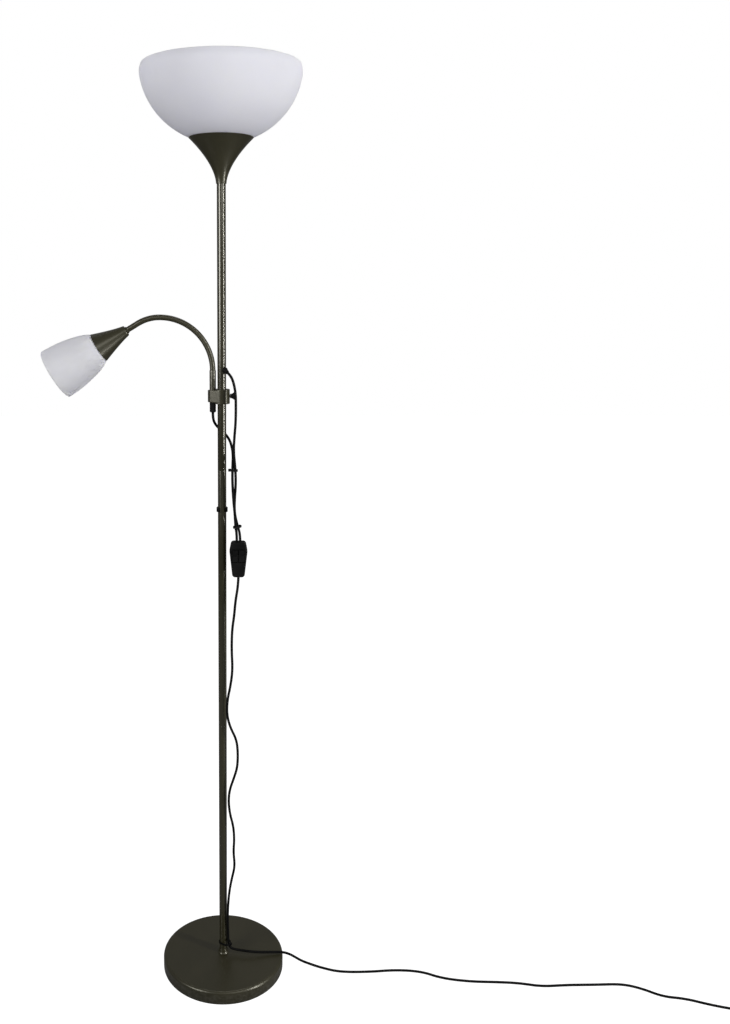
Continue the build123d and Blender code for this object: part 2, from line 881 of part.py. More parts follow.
def socket_lines(lead):
    """From the bore, round the socket's hollow, to the rim and the body's start."""
    rim_r = sqrt(socket_r**2 - mouth**2)
    top = (bore_r, sqrt(socket_r**2 - bore_r**2))
    ThreePointArc(top, (socket_r, 0), (rim_r, -mouth))
    Polyline((rim_r, -mouth), (hose_r - 0.3, -mouth), (hose_r, 0.3 - mouth), lead)


def ball_lines(centre_s, start):
    """From the body's end, in to the stem and round the ball, to the bore."""
    stem_s = centre_s - sqrt(ball_r**2 - stem_r**2)
    tip = (bore_r, centre_s + sqrt(ball_r**2 - bore_r**2))
    Polyline(
        start,
        (hose_r, centre_s - shoulder - 0.6),
        (hose_r - 0.6, centre_s - shoulder),
        (stem_r, centre_s - shoulder),
        (stem_r, stem_s),
    )
    ThreePointArc((stem_r, stem_s), (ball_r, centre_s), tip)
    return tip


def neck_link(start, end):
    """A link: a socket on the ball at its start, a hollow body, and a ball at its end."""
    length = (end - start).length
    waist = (hose_r, length / 2)
    with BuildPart() as link:
        with BuildSketch(axial(tuple(start), tuple(end - start))):
            with BuildLine():
                socket_lines(waist)
                tip = ball_lines(length, waist)
                Line(tip, (bore_r, sqrt(socket_r**2 - bore_r**2)))
            make_face()
        revolve(axis=Axis(start, end - start))
    return link


balls = neck_points()

# the tube that stands in the clamp, with the first ball on its top
with BuildPart() as neck_ferrule:
    ferrule_axis = axial((arm_x, 0, 0), (0, 0, 1))
    with BuildSketch(ferrule_axis):
        with BuildLine():
            Polyline(
                (bore_r, gland_top_z),
                (ferrule_r, gland_top_z),
                (ferrule_r, ferrule_top_z - 0.4),
                (ferrule_r - 0.4, ferrule_top_z),
                (hose_r, ferrule_top_z),
            )
            ferrule_tip = ball_lines(balls[0].Z, (hose_r, ferrule_top_z))
            Line(ferrule_tip, (bore_r, gland_top_z))
        make_face()
    revolve(axis=Axis((arm_x, 0, 0), (0, 0, 1)))
save("neck_ferrule", neck_ferrule)

for index, (start, end) in enumerate(zip(balls, balls[1:]), start=1):
    save(f"neck_link_{index}", neck_link(start, end))

# ---- reading head, along its own axis from the cup's small end -------------------------

head_dir = Vector(-cos(radians(head_tilt)), 0, -sin(radians(head_tilt)))
head_start = balls[-1] + head_dir * neck_end_len
head_axis = Axis(head_start, head_dir)
head_plane = axial(tuple(head_start), tuple(head_dir))
spigot_r = 4.8

# the fitting at the neck's end, which passes through the cup's small end
with BuildPart() as neck_end:
    with BuildSketch(axial(tuple(balls[-1]), tuple(head_dir))):
        with BuildLine():
            socket_lines((hose_r, neck_end_len - 2.4))
            Polyline(
                (hose_r, neck_end_len - 2.4),
                (hose_r + 1.4, neck_end_len - 2.0),
                (hose_r + 1.4, neck_end_len),
                (spigot_r, neck_end_len),
                (spigot_r, neck_end_len + 9.0),
                (bore_r, neck_end_len + 9.0),
                (bore_r, sqrt(socket_r**2 - bore_r**2)),
            )
        make_face()
    revolve(axis=head_axis)
save("neck_end", neck_end)


def head_cup_radius(s):
    small, large = head_cup_r
    return small + (large - small) * (s / head_cup_len) ** head_cup_curve


with BuildPart() as head_cup:
    revolve(
        walled_curve(
            head_plane,
            head_cup_radius,
            2.0,
            head_cup_len,
            cup_t,
            ((spigot_r, 2.0), (spigot_r, 0), (head_cup_r[0], 0)),
        ),
        axis=head_axis,
    )
save("head_cup", head_cup)

head_flange_s = head_shade_s[0] - 0.4
head_flange_r = 18.0
head_holder_r = 13.6
head_holder_s = 65.0
head_socket_r = 7.9
with BuildPart() as head_lampholder:
    revolve(
        outline(
            head_plane,
            (spigot_r, 2.2),
            (7.6, 2.2),
            (8.0, 10.0),
            (head_holder_r, 24.0),
            (head_holder_r, head_flange_s - 3.0),
            (head_flange_r, head_flange_s - 3.0),
            (head_flange_r, head_flange_s),
            (head_holder_r, head_flange_s),
            (head_holder_r, head_holder_s),
            (head_socket_r, head_holder_s),
            (head_socket_r, head_holder_s - 30.0),
            (2.6, head_holder_s - 30.0),
            (2.6, 11.2),
            (spigot_r, 11.2),
        ),
        axis=head_axis,
    )
save("head_lampholder", head_lampholder)

# the ring that screws down on the bell's floor
head_ring_s = head_shade_s[0] + head_shade_t + 0.2
head_ring_r = 20.0
head_ring_h = 4.8
with BuildPart() as head_shade_ring:
    revolve(
        outline(
            head_plane,
            (head_holder_r, head_ring_s),
            (head_ring_r, head_ring_s),
            (head_ring_r, head_ring_s + head_ring_h),
            (head_holder_r, head_ring_s + head_ring_h),
        ),
        axis=head_axis,
    )
save("head_shade_ring", head_shade_ring)


shade_neck_s = head_cup_len + 0.2  # the shade swells from here


def head_shade_radius(s):
    small, large = head_shade_r
    along = (s - shade_neck_s) / (head_shade_s[1] - shade_neck_s)
    return small + (large - small) * sin(pi / 2 * along) ** head_shade_curve


# the opal bell: a flat floor with a hole, and a wall that swells out to its mouth
with BuildPart() as head_shade:
    with BuildSketch(head_plane):
        floor_s, mouth_s = head_shade_s
        stations = (0.0, 0.02, 0.06, 0.13, 0.25, 0.42, 0.6, 0.8, 1.0)
        heights = [shade_neck_s + t * (mouth_s - shade_neck_s) for t in stations]
        outer_points = [(head_shade_radius(s), s) for s in heights]
        inner_points = [
            (r - head_shade_t, s + head_shade_t * (1 - t))
            for (r, s), t in zip(outer_points, stations)
        ]
        with BuildLine():
            Spline(*outer_points)
            Line(outer_points[-1], (inner_points[-1][0], mouth_s))
            Spline(*reversed(inner_points))
            Polyline(
                inner_points[0],
                (inner_points[0][0] - 1.5, floor_s + head_shade_t),
                (head_holder_r + 0.2, floor_s + head_shade_t),
                (head_holder_r + 0.2, floor_s),
                (head_shade_r[0] - 1.2, floor_s),
                outer_points[0],
            )
        make_face()
    revolve(axis=head_axis)
save("head_shade", head_shade)

head_bulb_neck_r = 7.4
head_bulb_r = 22.5
head_bulb_s = 95.0  # the globe's centre
with BuildPart() as head_bulb_glass:
    revolve(
        bulb_section(
            head_plane, head_bulb_neck_r, head_holder_s + 0.2, head_bulb_r, head_bulb_s, 1.0
        ),
        axis=head_axis,
    )
save("head_bulb_glass", head_bulb_glass)

with BuildPart() as head_bulb_cap:
    revolve(
        outline(
            head_plane,
            (0, head_holder_s - 27.0),
            (2.6, head_holder_s - 27.0),
            (2.6, head_holder_s - 25.4),
            (6.0, head_holder_s - 23.0),
            (head_bulb_neck_r, head_holder_s - 21.6),
            (head_bulb_neck_r, head_holder_s),
            (head_bulb_neck_r - 1.0, head_holder_s),
            (head_bulb_neck_r - 1.0, head_holder_s - 21.0),
            (0, head_holder_s - 23.0),
        ),
        axis=head_axis,
    )
save("head_bulb_cap", head_bulb_cap)

# ---- switch on the leads --------------------------------------------------------------

rocker_z = 899.0
rocker_w = 10.4
rocker_gap = 0.4
rocker_reach = 12.6  # from its axle to its ends
rocker_tilt = 8.0  # each way
rocker_x = (switch_x - 6.2, switch_x + 6.2)
axle_r = 1.0
axle_depth = 4.5  # behind the cover's face
front_y = switch_y - switch_depth / 2
back_y = switch_y + switch_depth / 2


def switch_block(y_front, y_back, inset=0.0):
    """The switch's outline, wide near its top and narrower at its foot, made solid from
    one depth to another."""
    with BuildPart() as block:
        with BuildSketch(Plane.XZ.offset(-y_front)) as face:
            with BuildLine():
                Polyline(
                    (switch_x - 13.6, switch_z[1]),
                    (switch_x + 13.6, switch_z[1]),
                    (switch_x + 17.0, switch_z[1] - 18.0),
                    (switch_x + 11.4, switch_z[0]),
                    (switch_x - 11.4, switch_z[0]),
                    (switch_x - 17.0, switch_z[1] - 18.0),
                    close=True,
                )
            make_face()
            fillet(face.vertices(), 6.0)
            if inset:
                offset(amount=-inset, mode=Mode.REPLACE)
        extrude(amount=y_front - y_back)
    return block.part


# the holes that the three leads and the two rockers need
with BuildPart() as switch_holes:
    for x, z in (
        (switch_x - entry_gap, switch_z[1]),
        (switch_x + entry_gap, switch_z[1]),
        (switch_x, switch_z[0]),
    ):
        with BuildSketch(Plane.XY.offset(z - 6)):
            with Locations((x, switch_y)):
                Circle(cord_r)
        extrude(amount=12)
    for x in rocker_x:
        with BuildSketch(Plane.XZ.offset(-switch_y + 3.0)):
            with Locations((x, rocker_z)):
                Rectangle(rocker_w + 2 * rocker_gap, 2 * (rocker_reach + rocker_gap))
        extrude(amount=switch_depth / 2)

with BuildPart() as switch_base:
    add(switch_block(switch_y, back_y))
    fillet(switch_base.faces().sort_by(Axis.Y)[-1].edges(), 3.0)
    add(switch_block(switch_y, back_y - shell_t, shell_t), mode=Mode.SUBTRACT)
    add(switch_holes.part, mode=Mode.SUBTRACT)
save("switch_base", switch_base)

with BuildPart() as switch_cover:
    add(switch_block(front_y, switch_y))
    fillet(switch_cover.faces().sort_by(Axis.Y)[0].edges(), 3.0)
    add(switch_block(front_y + shell_t, switch_y, shell_t), mode=Mode.SUBTRACT)
    add(switch_holes.part, mode=Mode.SUBTRACT)
save("switch_cover", switch_cover)

# the two screws that close the switch, and the axle that both rockers turn on
screw_places = ((switch_x, switch_z[1] - 8.0), (switch_x, switch_z[0] + 14.0))
cover_screw_r = 1.4
axle_half = 14.0
with BuildPart() as switch_metalwork:
    for x, z in screw_places:
        with BuildSketch(Plane.XZ.offset(shell_t - back_y)):
            with Locations((x, z)):
                Circle(cover_screw_r)
        extrude(amount=switch_depth - 2 * shell_t)
    with BuildSketch(Plane.YZ.offset(switch_x - axle_half)):
        with Locations((front_y + axle_depth, rocker_z)):
            Circle(axle_r)
    extrude(amount=2 * axle_half)
save("switch_metalwork", switch_metalwork)

# the brass terminal blocks that the leads' cores are screwed to
terminal_z = (874.0, 886.0)
terminal_pitch = 7.0
with BuildPart() as switch_terminals:
    for x in (switch_x - terminal_pitch, switch_x, switch_x + terminal_pitch):
        with BuildSketch(Plane.XY.offset(terminal_z[0])):
            with Locations((x, back_y - shell_t - 4.0)):
                Rectangle(4.6, 6.0)
        extrude(amount=terminal_z[1] - terminal_z[0])
save("switch_terminals", switch_terminals)


def rocker(x):
    """A rocker, a shallow V seen from the side, with its lower half pressed in."""
    tilt = radians(rocker_tilt)
    side = Plane(
        origin=(x - rocker_w / 2, front_y + axle_depth, rocker_z),
        x_dir=(0, cos(tilt), sin(tilt)),
        z_dir=(1, 0, 0),
    )
    front, middle, inner = (
        (-depth, sqrt(rocker_reach**2 - depth**2)) for depth in (7.1, 4.5, 1.5)
    )
    with BuildPart() as key:
        with BuildSketch(side) as face:
            with BuildLine():
                Polyline(front, (-5.4, 0), (front[0], -front[1]))
                ThreePointArc(
                    (front[0], -front[1]), (middle[0], -middle[1]), (inner[0], -inner[1])
                )
                Polyline((inner[0], -inner[1]), (2.4, -3.0), (2.4, 3.0), inner)
                ThreePointArc(inner, middle, front)
            make_face()
            Circle(axle_r + slide_gap, mode=Mode.SUBTRACT)
        extrude(amount=rocker_w)
    return key


uplight_rocker = rocker(rocker_x[0])
arm_rocker = rocker(rocker_x[1])
save("uplight_rocker", uplight_rocker)
save("arm_rocker", arm_rocker)
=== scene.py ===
# %% [markdown]
# # A floor lamp with an opal bowl and a reading arm
# The lamp is a round weighted foot, a slim pole, a bowl that lights the ceiling and a small
# bell on a flexible neck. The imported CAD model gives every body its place. This lesson adds
# the surfaces that are seen, their finishes, the leads, and a plain studio.

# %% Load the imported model
import json

import bpy
import numpy as np
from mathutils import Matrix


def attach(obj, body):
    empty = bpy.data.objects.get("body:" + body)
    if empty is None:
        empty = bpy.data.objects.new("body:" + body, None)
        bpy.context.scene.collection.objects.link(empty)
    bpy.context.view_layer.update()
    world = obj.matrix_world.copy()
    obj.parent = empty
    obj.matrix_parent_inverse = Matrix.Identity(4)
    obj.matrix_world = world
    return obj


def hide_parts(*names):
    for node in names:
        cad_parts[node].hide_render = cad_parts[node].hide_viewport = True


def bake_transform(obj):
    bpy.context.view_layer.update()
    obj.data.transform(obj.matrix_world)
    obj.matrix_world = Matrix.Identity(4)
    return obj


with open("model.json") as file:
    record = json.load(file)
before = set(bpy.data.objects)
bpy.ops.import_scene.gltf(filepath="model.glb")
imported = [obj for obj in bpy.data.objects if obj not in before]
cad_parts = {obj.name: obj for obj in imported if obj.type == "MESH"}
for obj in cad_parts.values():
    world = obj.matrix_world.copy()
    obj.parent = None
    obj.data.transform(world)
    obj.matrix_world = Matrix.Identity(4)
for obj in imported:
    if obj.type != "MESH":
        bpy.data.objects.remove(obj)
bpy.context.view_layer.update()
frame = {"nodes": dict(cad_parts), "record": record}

slot_of = {part["node"]: part["material_slot"] for part in frame["record"]["subparts"]}

# %% [markdown]
# ## The camera
# The camera stands 1.8 m in front of the lamp at about eye height and looks a little down. The
# lamp is left of the middle, which is a shift of the lens, not a turn, because the pole stays
# upright in the picture.

# %% Camera
CAMERA_PLACE = (0.0213, -1.7845, 1.3878)
LOOK_DOWN_DEG = 12.957
SENSOR_MM, LENS_MM, LENS_SHIFT = 36.0, 34.09, 0.1285

camera = bpy.data.objects.new("camera", bpy.data.cameras.new("camera"))
bpy.context.scene.collection.objects.link(camera)
camera.location = CAMERA_PLACE
camera.rotation_euler = (np.radians(90 - LOOK_DOWN_DEG), 0, 0)
camera.data.sensor_fit = "VERTICAL"
camera.data.sensor_height = SENSOR_MM
camera.data.lens = LENS_MM
camera.data.shift_x = LENS_SHIFT
bpy.context.scene.camera = camera
print("camera at", tuple(round(value, 3) for value in camera.location))

# %% [markdown]
# ## Leads
# A round lead is a smooth curve through the places where it hangs, crosses and lies. A NURBS
# curve of order 3 with a round bevel gives that from a few control points. Measures here
# are in millimetres, and one factor turns them into Blender's metres.

# %% A lead from its control points
MM = 0.001
LEAD_R = 2.5  # radius of every lead


def lead_curve(name, points):
    """A NURBS curve of order 3: each span is a parabola whose ends are the middles of two
    neighbouring runs, and its first and last points are the route's own."""
    data = bpy.data.curves.new(name, "CURVE")
    data.dimensions = "3D"
    spline = data.splines.new("NURBS")
    spline.points.add(len(points) - 1)
    route = np.column_stack([np.asarray(points, float) * MM, np.ones(len(points))])
    spline.points.foreach_set("co", route.ravel())
    spline.points.foreach_set("radius", np.full(len(points), LEAD_R * MM))
    spline.order_u = 3
    spline.use_endpoint_u = True
    spline.resolution_u = 10
    data.bevel_depth = 1.0  # times each point's own radius
    data.bevel_resolution = 4
    data.use_fill_caps = True
    obj = bpy.data.objects.new(name, data)
    bpy.context.scene.collection.objects.link(obj)
    return obj


def centreline(obj):
    """The points of a curve's own line, read from the curve with its bevel taken off."""
    bevel, obj.data.bevel_depth = obj.data.bevel_depth, 0
    bpy.context.view_layer.update()
    graph = bpy.context.evaluated_depsgraph_get()
    line = bpy.data.meshes.new_from_object(obj.evaluated_get(graph))
    obj.data.bevel_depth = bevel
    bpy.context.view_layer.update()
    points = np.empty(len(line.vertices) * 3)
    line.vertices.foreach_get("co", points)
    bpy.data.meshes.remove(line)
    return points.reshape(-1, 3)


def measured(points):
    """The sum of the distances between neighbouring points."""
    return float(np.linalg.norm(np.diff(points, axis=0), axis=1).sum())


# %% [markdown]
# The uplight's lead leaves the pole by a rubber bush, hangs beside the clamp and meets the
# reading arm's lead lower down. Both end in the switch.

# %% The uplight's lead
SWITCH_X, SWITCH_Y = 30.8, -20.0
SWITCH_TOP, SWITCH_FOOT = 925.0, 857.0
ENTRY_GAP = 3.2  # the two leads enter the switch this far each side of its middle
BUSH_Z = 1248.5
BUSH_LEN, STRAIGHT_LEN = 17.5, 28.0  # past the bush, the lead keeps its direction a little
bush_turn, bush_drop = np.radians(-47), np.radians(-30)
bush_axis = np.array(
    [
        np.cos(bush_drop) * np.cos(bush_turn),
        np.cos(bush_drop) * np.sin(bush_turn),
        np.sin(bush_drop),
    ]
)
bush_foot = np.array([0, 0, BUSH_Z])
bush_mouth = bush_foot + BUSH_LEN * bush_axis

uplight_lead = lead_curve(
    "uplight_lead",
    [
        bush_mouth,
        bush_foot + STRAIGHT_LEN * bush_axis,
        (21.8, -22.6, 1222.0),
        (25.4, -25.4, 1203.0),
        (25.8, -25.6, 1178.0),
        (25.4, -24.8, 1150.0),
        (23.0, -23.6, 1122.0),
        (21.6, -23.0, 1096.0),
        (25.0, -22.0, 1064.0),
        (25.8, -20.6, 1034.0),
        (23.6, -17.6, 1006.0),
        (23.4, -16.8, 978.0),
        (29.4, -17.6, 954.0),
        (SWITCH_X + ENTRY_GAP, SWITCH_Y, 938.0),
        (SWITCH_X + ENTRY_GAP, SWITCH_Y, SWITCH_TOP),
    ],
)
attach(uplight_lead, "root")
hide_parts("uplight_cord")
print("uplight's lead", round(measured(centreline(uplight_lead)), 4))

# %% [markdown]
# The arm's lead has to follow two motions: the clamp swings round the pole and slides along
# it. A bevelled curve can't bend between two bodies, so this lead is a tube of mesh round the
# same kind of line, in two lengths that meet behind the pole.

# %% A grid of points becomes a mesh
SHARP_DEG = 50  # a corner over this is shaded sharp


def skin(name, grid, ring=False, ends=None, edge=None):
    """A mesh over rows of points that each close on themselves: the cell between points
    (i, j) and (i + 1, j + 1) is one quad. ring joins the last row to the first. ends are two
    points that close the first and the last row with fans. edge is kept as a number at each
    point, near 1 where hands and knocks reach the piece."""
    rows, columns = grid.shape[:2]
    index = np.arange(rows * columns).reshape(rows, columns)
    points = grid.reshape(-1, 3)
    strip = np.vstack([index, index[:1]]) if ring else index
    after = np.roll(strip, -1, axis=1)
    quads = np.stack([strip[:-1], after[:-1], after[1:], strip[1:]], axis=-1)
    faces = quads.reshape(-1, 4).tolist()
    if ends is not None:
        points = np.vstack([points, np.asarray(ends, float)])
        first = np.full(columns, rows * columns)
        faces += np.stack([first, after[0], index[0]], axis=-1).tolist()
        faces += np.stack([first + 1, index[-1], after[-1]], axis=-1).tolist()
    mesh = bpy.data.meshes.new(name)
    mesh.from_pydata(points, [], faces)
    if edge is not None:
        worn = np.zeros(len(points), np.float32)
        worn[: rows * columns] = np.broadcast_to(edge, (rows, columns)).ravel()
        mesh.attributes.new("edge", "FLOAT", "POINT").data.foreach_set("value", worn)
    if enclosed(mesh) < 0:
        mesh.flip_normals()
    mesh.polygons.foreach_set("use_smooth", np.ones(len(mesh.polygons), bool))
    mesh.set_sharp_from_angle(angle=np.radians(SHARP_DEG))
    obj = bpy.data.objects.new(name, mesh)
    bpy.context.scene.collection.objects.link(obj)
    return obj


def enclosed(mesh):
    """The signed volume: the sum over triangles of a . (b x c) / 6, below 0 if the faces
    point inwards."""
    mesh.calc_loop_triangles()
    corners = np.empty(len(mesh.loop_triangles) * 3, np.int32)
    mesh.loop_triangles.foreach_get("vertices", corners)
    points = np.empty(len(mesh.vertices) * 3)
    mesh.vertices.foreach_get("co", points)
    a, b, c = np.moveaxis(points.reshape(-1, 3)[corners.reshape(-1, 3)], 1, 0)
    return float((a * np.cross(b, c)).sum() / 6)


def unit(vector):
    """The vector divided by its length, row by row."""
    vector = np.asarray(vector, float)
    return vector / np.linalg.norm(vector, axis=-1, keepdims=True)


def tube(name, line, radius, reference, around=20):
    """A round tube on a line: the point at angle a of station i is
    line[i] + radius[i] * (cos a * side[i] + sin a * up[i]). The tangent is the central
    difference of the line, side is reference less its part along the tangent, and up is
    their cross product."""
    tangent = unit(np.gradient(line, axis=0))
    reference = np.asarray(reference, float)
    side = unit(reference - (tangent @ reference)[:, None] * tangent)
    up = np.cross(tangent, side)
    angle = np.linspace(0, 2 * np.pi, around, endpoint=False)[None, :, None]
    radius = np.broadcast_to(radius, len(line))[:, None, None]
    grid = line[:, None] + radius * (np.cos(angle) * side[:, None] + np.sin(angle) * up[:, None])
    return skin(name, grid, ends=(line[0], line[-1]))


# %% The arm's lead, in two lengths
ARM_X = -16.6
GLAND_Z = 1166.0
SPLIT = (-1.0, 15.6, 1130.0)  # where the two lengths meet, behind the pole


def lead_tube(name, points, reference):
    """A mesh tube on the line of a lead's own curve, and that line."""
    curve = lead_curve(name + "_line", points)
    line = centreline(curve)
    bpy.data.objects.remove(curve)
    return tube(name, line, LEAD_R * MM, reference), line


arm_lead_upper, upper_line = lead_tube(
    "arm_lead_upper",
    [
        (ARM_X, 0, GLAND_Z),
        (ARM_X, 0, 1157.0),
        (-14.4, 6.4, 1146.5),
        (-9.0, 13.2, 1137.5),
        SPLIT,
    ],
    reference=(1, -1, 0),
)
arm_lead_lower, lower_line = lead_tube(
    "arm_lead_lower",
    [
        SPLIT,
        (7.0, 18.0, 1122.5),
        (14.6, 12.0, 1112.0),
        (19.0, 1.0, 1099.0),
        (20.6, -12.0, 1086.0),
        (19.8, -20.0, 1072.0),
        (19.2, -21.2, 1042.0),
        (21.2, -23.4, 1006.0),
        (24.0, -23.2, 978.0),
        (25.2, -22.2, 954.0),
        (SWITCH_X - ENTRY_GAP, SWITCH_Y, 939.0),
        (SWITCH_X - ENTRY_GAP, SWITCH_Y, SWITCH_TOP),
    ],
    reference=(1, 0, 0),
)
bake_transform(arm_lead_upper)
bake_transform(arm_lead_lower)
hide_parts("arm_cord_upper")
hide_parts("arm_cord_lower")
print("arm's lead", round(measured(upper_line), 4), "and", round(measured(lower_line), 4))

# %% [markdown]
# The mains lead hangs from the switch to a tie at the pole's foot, crosses the foot, drops to
# the floor and wanders off to the right. What the photograph doesn't show of it is put away
# as a neat coil of four turns, with its plug beside it.

# %% The mains lead
FLOOR_Z = 2.5
COIL_X, COIL_Y = 1048.0, -176.0
COIL_R = 27.5  # at the middle of the turns
COIL_Z, LAYER_RISE = 3.7, 5.2
COIL_START_DEG, COIL_TURNS = 82.3, 4
PER_TURN = 14  # control points
IN_AFTER, OUT_BEFORE = 0.85, 1.2  # turns from the coil's start and end
SHIFT_TURNS, CLIMB_TURNS = 0.35, 0.4  # how much of a turn each change takes
PLUG_T = 13.7
PLUG_STRAIGHT = 14.0
plug_dir = unit([-0.35, -1.0, 0])
plug_entry = np.array([COIL_X + 21.0, COIL_Y - 50.0, PLUG_T / 2])


def coil_points(start_deg, turns_deg):
    """Control points that go round clockwise, in two layers of two turns: the outer turn
    then the inner one low down, and the inner turn then the outer one above them. A curve
    of order 3 stays inside its control points by the cosine of half a step, so the radius
    is divided by that."""
    steps = int(round(turns_deg / 360 * PER_TURN))
    share = np.linspace(0, 1, steps + 1)
    angle = np.radians(start_deg - turns_deg * share)
    turn = turns_deg / 360 * share
    top = turns_deg / 360
    going_in = np.clip((turn - IN_AFTER) / SHIFT_TURNS, 0, 1)
    going_out = np.clip((turn - (top - OUT_BEFORE)) / SHIFT_TURNS, 0, 1)
    layer = np.clip((turn - (top / 2 - CLIMB_TURNS / 2)) / CLIMB_TURNS, 0, 1)
    radius = COIL_R + LEAD_R - 2 * LEAD_R * (going_in - going_out)
    radius = radius / np.cos(np.pi / PER_TURN)
    x, y = COIL_X + radius * np.cos(angle), COIL_Y + radius * np.sin(angle)
    return np.column_stack([x, y, COIL_Z + LAYER_RISE * layer])


mains_route = [
    (SWITCH_X, SWITCH_Y, SWITCH_FOOT),
    (30.2, -20.0, 838.0),
    (25.2, -20.2, 808.0),
    (22.8, -19.4, 778.0),
    (18.6, -18.4, 748.0),
    (17.8, -17.4, 706.0),
    (19.8, -16.2, 666.0),
    (15.6, -15.2, 632.0),
    (9.4, -14.2, 602.0),
    (8.4, -14.0, 572.0),
    (14.4, -15.2, 546.0),
    (27.2, -17.2, 520.0),
    (30.2, -18.0, 494.0),
    (29.4, -16.8, 460.0),
    (22.0, -15.0, 434.0),
    (13.6, -13.2, 408.0),
    (11.4, -12.2, 382.0),
    (14.2, -12.0, 354.0),
    (21.0, -12.2, 328.0),
    (23.2, -12.6, 298.0),
    (21.2, -12.2, 268.0),
    (24.4, -12.0, 236.0),
    (17.8, -11.2, 206.0),
    (12.8, -10.2, 176.0),
    (10.0, -9.2, 140.0),
    (9.2, -8.0, 104.0),
    (10.2, -6.8, 76.0),
    (10.6, -6.3, 56.0),
    (11.6, -6.3, 47.0),
    (16.4, -6.6, 40.0),
    (26.0, -8.6, 38.0),
    (40.0, -12.8, 38.8),
    (58.0, -14.4, 37.2),
    (79.0, -12.6, 34.4),
    (102.0, -9.8, 32.6),
    (124.5, -8.4, 31.8),
    (139.0, -8.2, 27.0),
    (152.0, -7.0, 18.0),
    (164.0, -6.2, 9.4),
    (182.0, -9.0, 3.6),
    (206.0, -19.6, FLOOR_Z),
    (242.0, -32.4, FLOOR_Z),
    (302.0, -32.4, FLOOR_Z),
    (362.0, -26.0, FLOOR_Z),
    (414.0, -31.4, FLOOR_Z),
    (450.0, -51.0, FLOOR_Z),
    (506.0, -61.2, FLOOR_Z),
    (566.0, -62.8, FLOOR_Z),
    (608.0, -66.0, FLOOR_Z),
    (650.0, -75.6, FLOOR_Z),
    (702.0, -71.2, FLOOR_Z),
    (760.0, -70.6, FLOOR_Z),
    (816.0, -68.2, FLOOR_Z),
    (851.0, -81.4, FLOOR_Z),
    (884.0, -104.6, FLOOR_Z),
    (926.0, -110.2, FLOOR_Z),
    (966.0, -126.6, FLOOR_Z),
    (1006.0, -139.0, FLOOR_Z),
    (1034.0, -144.2, 3.1),
]
tail_route = [
    (COIL_X + COIL_R + LEAD_R, COIL_Y - 9.0, 8.8),
    (COIL_X + COIL_R + LEAD_R, COIL_Y - 20.0, 8.3),
    plug_entry - PLUG_STRAIGHT * plug_dir,
    plug_entry,
]
coil_route = coil_points(COIL_START_DEG, COIL_TURNS * 360 + COIL_START_DEG)
mains_lead = lead_curve("mains_lead", np.vstack([mains_route, coil_route, tail_route]))
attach(mains_lead, "root")
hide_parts("mains_cord", "mains_coil", "mains_tail")
print("mains lead", round(measured(centreline(mains_lead)), 4))

# %% [markdown]

# %% [markdown]
# ## Finishes
# An effect that several finishes share is a node group with named sockets. Patterns are
# read in Object coordinates, which here are metres in the lamp's own frame.

# %% A shader group and its sockets


def node_group(name, inputs, outputs):
    """An empty shader group: inputs are (label, default) numbers, outputs are labels."""
    tree = bpy.data.node_groups.new(name, "ShaderNodeTree")
    for label, default in inputs:
        socket = tree.interface.new_socket(label, in_out="INPUT", socket_type="NodeSocketFloat")
        socket.default_value = default
    for label in outputs:
        tree.interface.new_socket(label, in_out="OUTPUT", socket_type="NodeSocketFloat")
    return tree, tree.nodes.new("NodeGroupInput"), tree.nodes.new("NodeGroupOutput")


def noise(tree, scale, detail, roughness=0.5):
    """A noise texture in Object coordinates. scale is in cells to the metre."""
    texture = tree.nodes.new("ShaderNodeTexNoise")
    texture.inputs["Detail"].default_value = detail
    texture.inputs["Roughness"].default_value = roughness
    metres = tree.nodes.new("ShaderNodeTexCoord").outputs["Object"]
    tree.links.new(metres, texture.inputs["Vector"])
    if isinstance(scale, (int, float)):
        texture.inputs["Scale"].default_value = scale
    else:
        tree.links.new(scale, texture.inputs["Scale"])
    return texture.outputs["Fac"]


def maths(tree, operation, first, second, third=0.0):
    """One Math node, whose inputs are sockets or numbers."""
    node = tree.nodes.new("ShaderNodeMath")
    node.operation = operation
    for socket, value in zip(node.inputs, (first, second, third)):
        if isinstance(value, (int, float)):
            socket.default_value = value
        else:
            tree.links.new(value, socket)
    return node.outputs[0]


def remap(tree, value, low, high, new_low=0.0, new_high=1.0, smooth=True):
    """Stretches low..high of a value to new_low..new_high, and holds it at the ends."""
    node = tree.nodes.new("ShaderNodeMapRange")
    node.interpolation_type = "SMOOTHSTEP" if smooth else "LINEAR"
    tree.links.new(value, node.inputs["Value"])
    for label, number in (
        ("From Min", low),
        ("From Max", high),
        ("To Min", new_low),
        ("To Max", new_high),
    ):
        node.inputs[label].default_value = number
    return node.outputs["Result"]


# %% Fleck: what metallic paint shows
fleck, fleck_in, fleck_out = node_group(
    "fleck", [("Cells", 2400.0), ("Drift cells", 14.0)], ["Fleck", "Drift", "Height"]
)
fine = noise(fleck, fleck_in.outputs["Cells"], detail=1.0)
wide = noise(fleck, fleck_in.outputs["Drift cells"], detail=3.0)
peel = noise(fleck, 420.0, detail=1.0)
fleck.links.new(remap(fleck, fine, 0.42, 0.68), fleck_out.inputs["Fleck"])
fleck.links.new(remap(fleck, wide, 0.3, 0.7), fleck_out.inputs["Drift"])
height = maths(fleck, "MULTIPLY_ADD", fine, 0.35, maths(fleck, "MULTIPLY", peel, 0.65))
fleck.links.new(height, fleck_out.inputs["Height"])

